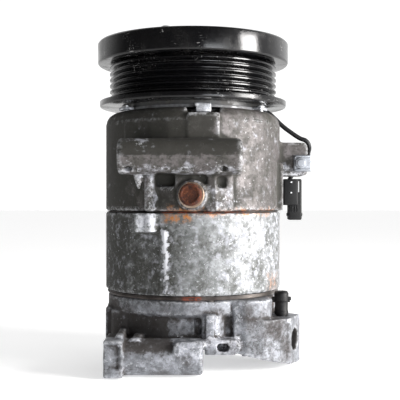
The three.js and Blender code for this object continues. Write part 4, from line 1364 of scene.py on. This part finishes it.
def lead_mesh():
    curve = bpy.data.curves.new("coil_lead", "CURVE")
    curve.dimensions = "3D"
    curve.bevel_depth = LEAD_RADIUS * MM
    curve.bevel_resolution = 5
    curve.use_fill_caps = True
    spline = curve.splines.new("BEZIER")
    spline.bezier_points.add(len(LEAD_ROUTE) - 1)
    for point, place in zip(spline.bezier_points, LEAD_ROUTE):
        point.co = Vector(place) * MM
        point.handle_left_type = point.handle_right_type = "AUTO"
    spline.resolution_u = 10
    return cleaned(baked(linked("coil_lead_helper", curve), "coil_lead"))


finished("coil_lead_sleeve", lead_mesh(), SLEEVE, "casing", "coil_lead", slot="cable_sleeve")

# %% [markdown]
# ## Connector
# The clutch plugs in here. It is a moulded socket: a stepped body with an open mouth below, a slot near its
# outer edge, grip ribs, a latch bridge, two terminals and two small metal catches. The catches are small
# bright zinc blocks that stand in for two glints off the latch corners. Rounded blocks are enough, because a
# moulding has the same small radius everywhere.

# %% Connector
def connector_mesh():
    upper = block_mesh("socket_shoulder", (55.3, -5, 80.6), (63.8, 5, 96.6), 0.6)
    shroud = block_mesh("socket_shroud", (58.2, -4.2, 71.6), (66.4, 4.2, 96.6), 0.9)
    mouth = block_mesh("socket_mouth", (59.8, -2.6, 65), (64.8, 2.6, 84.6), 0.4)
    side_slot = block_mesh("side_slot", (64.2, -6, 88.6), (65.7, 6, 95.4), 0.1)
    shroud = without(without(shroud, "socket_shroud", mouth), "socket_shroud", side_slot)
    body = joined("connector", upper, shroud)
    ribs = [60.4 + 1.5 * i for i in range(3)]
    bars = [block_mesh("grip_rib", (x, -4.7, 76.5), (x + 0.6, -4.0, 94.5), 0.2) for x in ribs]
    latch = block_mesh("latch_bridge", (57.6, -3, 73.8), (66.9, 3, 76), 0.5)
    latch = without(latch, "latch_bridge", mouth)
    return joined("connector", body, latch, *bars)


def glint_catch_mesh():
    """Two small bright zinc blocks on the socket's face, placed to give two glints off its latch corners."""
    catches = [block_mesh("catch", (59.2, -5.35, z), (60.3, -4.8, z + 0.9), 0.15) for z in (87.8, 94.2)]
    return joined("catches", *catches)


def terminal_mesh():
    pins = [block_mesh("terminal", (61.2, y - 0.4, 77), (63.4, y + 0.4, 85), 0.12) for y in (-1.2, 1.2)]
    return joined("terminals", *pins)


finished("connector_moulding", connector_mesh(), PLASTIC, "casing", "connector", slot="black_plastic")
finished("connector_terminals", terminal_mesh(), COPPER, "casing", slot="copper")
finished("connector_catches", glint_catch_mesh(), ZINC, "casing", slot="zinc_plate")

# %% [markdown]
# ## Clip, screw and temperature switch
# A pressed clip with a raised pad is screwed to the side boss. The temperature switch is a moulded can with
# two lugs, pushed into a pocket of the rear head.

# %% Clip and screw
CLIP = {"x": (60.8, 71.4), "z": (101, 111), "y": (-9.4, -7.8)}


def clip_mesh():
    (x0, x1), (z0, z1), (y0, y1) = CLIP["x"], CLIP["z"], CLIP["y"]
    plate = block_mesh("clip", (x0, y0 + 0.5, z0), (x1, y1, z1), 0.4)
    folds = [block_mesh("clip_fold", (x0 + 0.3, y0, z0 + 0.3), (x1 - 0.3, y1 - 0.3, z0 + 1.7), 0.35),
             block_mesh("clip_fold", (x0 + 0.3, y0, z1 - 1.7), (x1 - 0.3, y1 - 0.3, z1 - 0.3), 0.35),
             block_mesh("clip_fold", (x0 + 0.3, y0, z0 + 0.3), (x0 + 1.5, y1 - 0.3, z1 - 0.3), 0.35)]
    return joined("clip", plate, *folds)


def clip_screw_mesh():
    head = prism_mesh("clip_screw_head", 3.7, 9.7, 11.6, 0.3)
    shank = lathe_mesh("clip_screw_shank", eased([(0, 1), (1.8, 1.4), (1.8, 10), (0, 10)], 0.1), 24)
    cap = lathe_mesh("clip_screw_cap", eased([(0, 11.4), (2.6, 11.4), (2.2, 12), (0, 12)], 0.2), 32)
    upright = joined("clip_screw", head, shank, cap)
    upright.transform(Matrix.Rotation(math.pi / 2, 4, "X"))
    return moved(upright, 65, 0, 106)


finished("lead_clip", clip_mesh(), CLIP_STEEL, "casing", "connector_clip", slot="zinc_plate")
finished("lead_clip_screw", clip_screw_mesh(), CLIP_STEEL, "casing", "clip_screw", slot="zinc_plate")

# %% Temperature switch
SWITCH = (51.8, -25)


def switch_mesh():
    can = [(0, 17), (4.1, 17), (4.1, 19.2), (3.8, 19.5), (3.8, 24.6), (4.2, 25), (4.2, 29.4),
           (3.5, 30.7), (2.4, 30.8), (2.2, 29.6), (0, 29.6)]
    body = lathe_mesh("temperature_switch", eased(can, 0.25), 64)
    stem = lathe_mesh("switch_stem", eased([(0, 10), (3, 10), (3, 18), (0, 18)], 0.3), 40)
    lugs = block_mesh("switch_lugs", (-5.6, -1.4, 25.4), (5.6, 1.4, 27.4), 0.35)
    steps = block_mesh("switch_lug_steps", (-5, -1, 24.2), (5, 1, 26), 0.3)
    return moved(joined("temperature_switch", body, stem, lugs, steps), *SWITCH)


finished("temperature_switch", switch_mesh(), PLASTIC, "casing", "thermal_switch", slot="black_plastic")

# %% [markdown]
# ## Inner parts
# Bearings, seal, crank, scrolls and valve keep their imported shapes. They are hidden inside the closed
# machine, so they only need the right metal.

# %% Finishes of the inner parts
INNER_FINISHES = {
    "bearing_steel": BEARING_STEEL,
    "bare_steel": BARE_STEEL,
    "zinc_plate": ZINC,
    "copper": COPPER,
    "scroll_alloy": SCROLL_ALLOY,
    "gasket": RUBBER,
    "black_plastic": PLASTIC,
    "cable_sleeve": SLEEVE,
    "rusted_steel": RUST,
    "pulley_paint": ENAMEL,
    "cast_aluminium": SHELL_CAST,
}
for part in frame["record"]["subparts"]:
    mesh = nodes[part["node"]].data
    mesh.materials.clear()
    mesh.materials.append(INNER_FINISHES[part["material_slot"]])
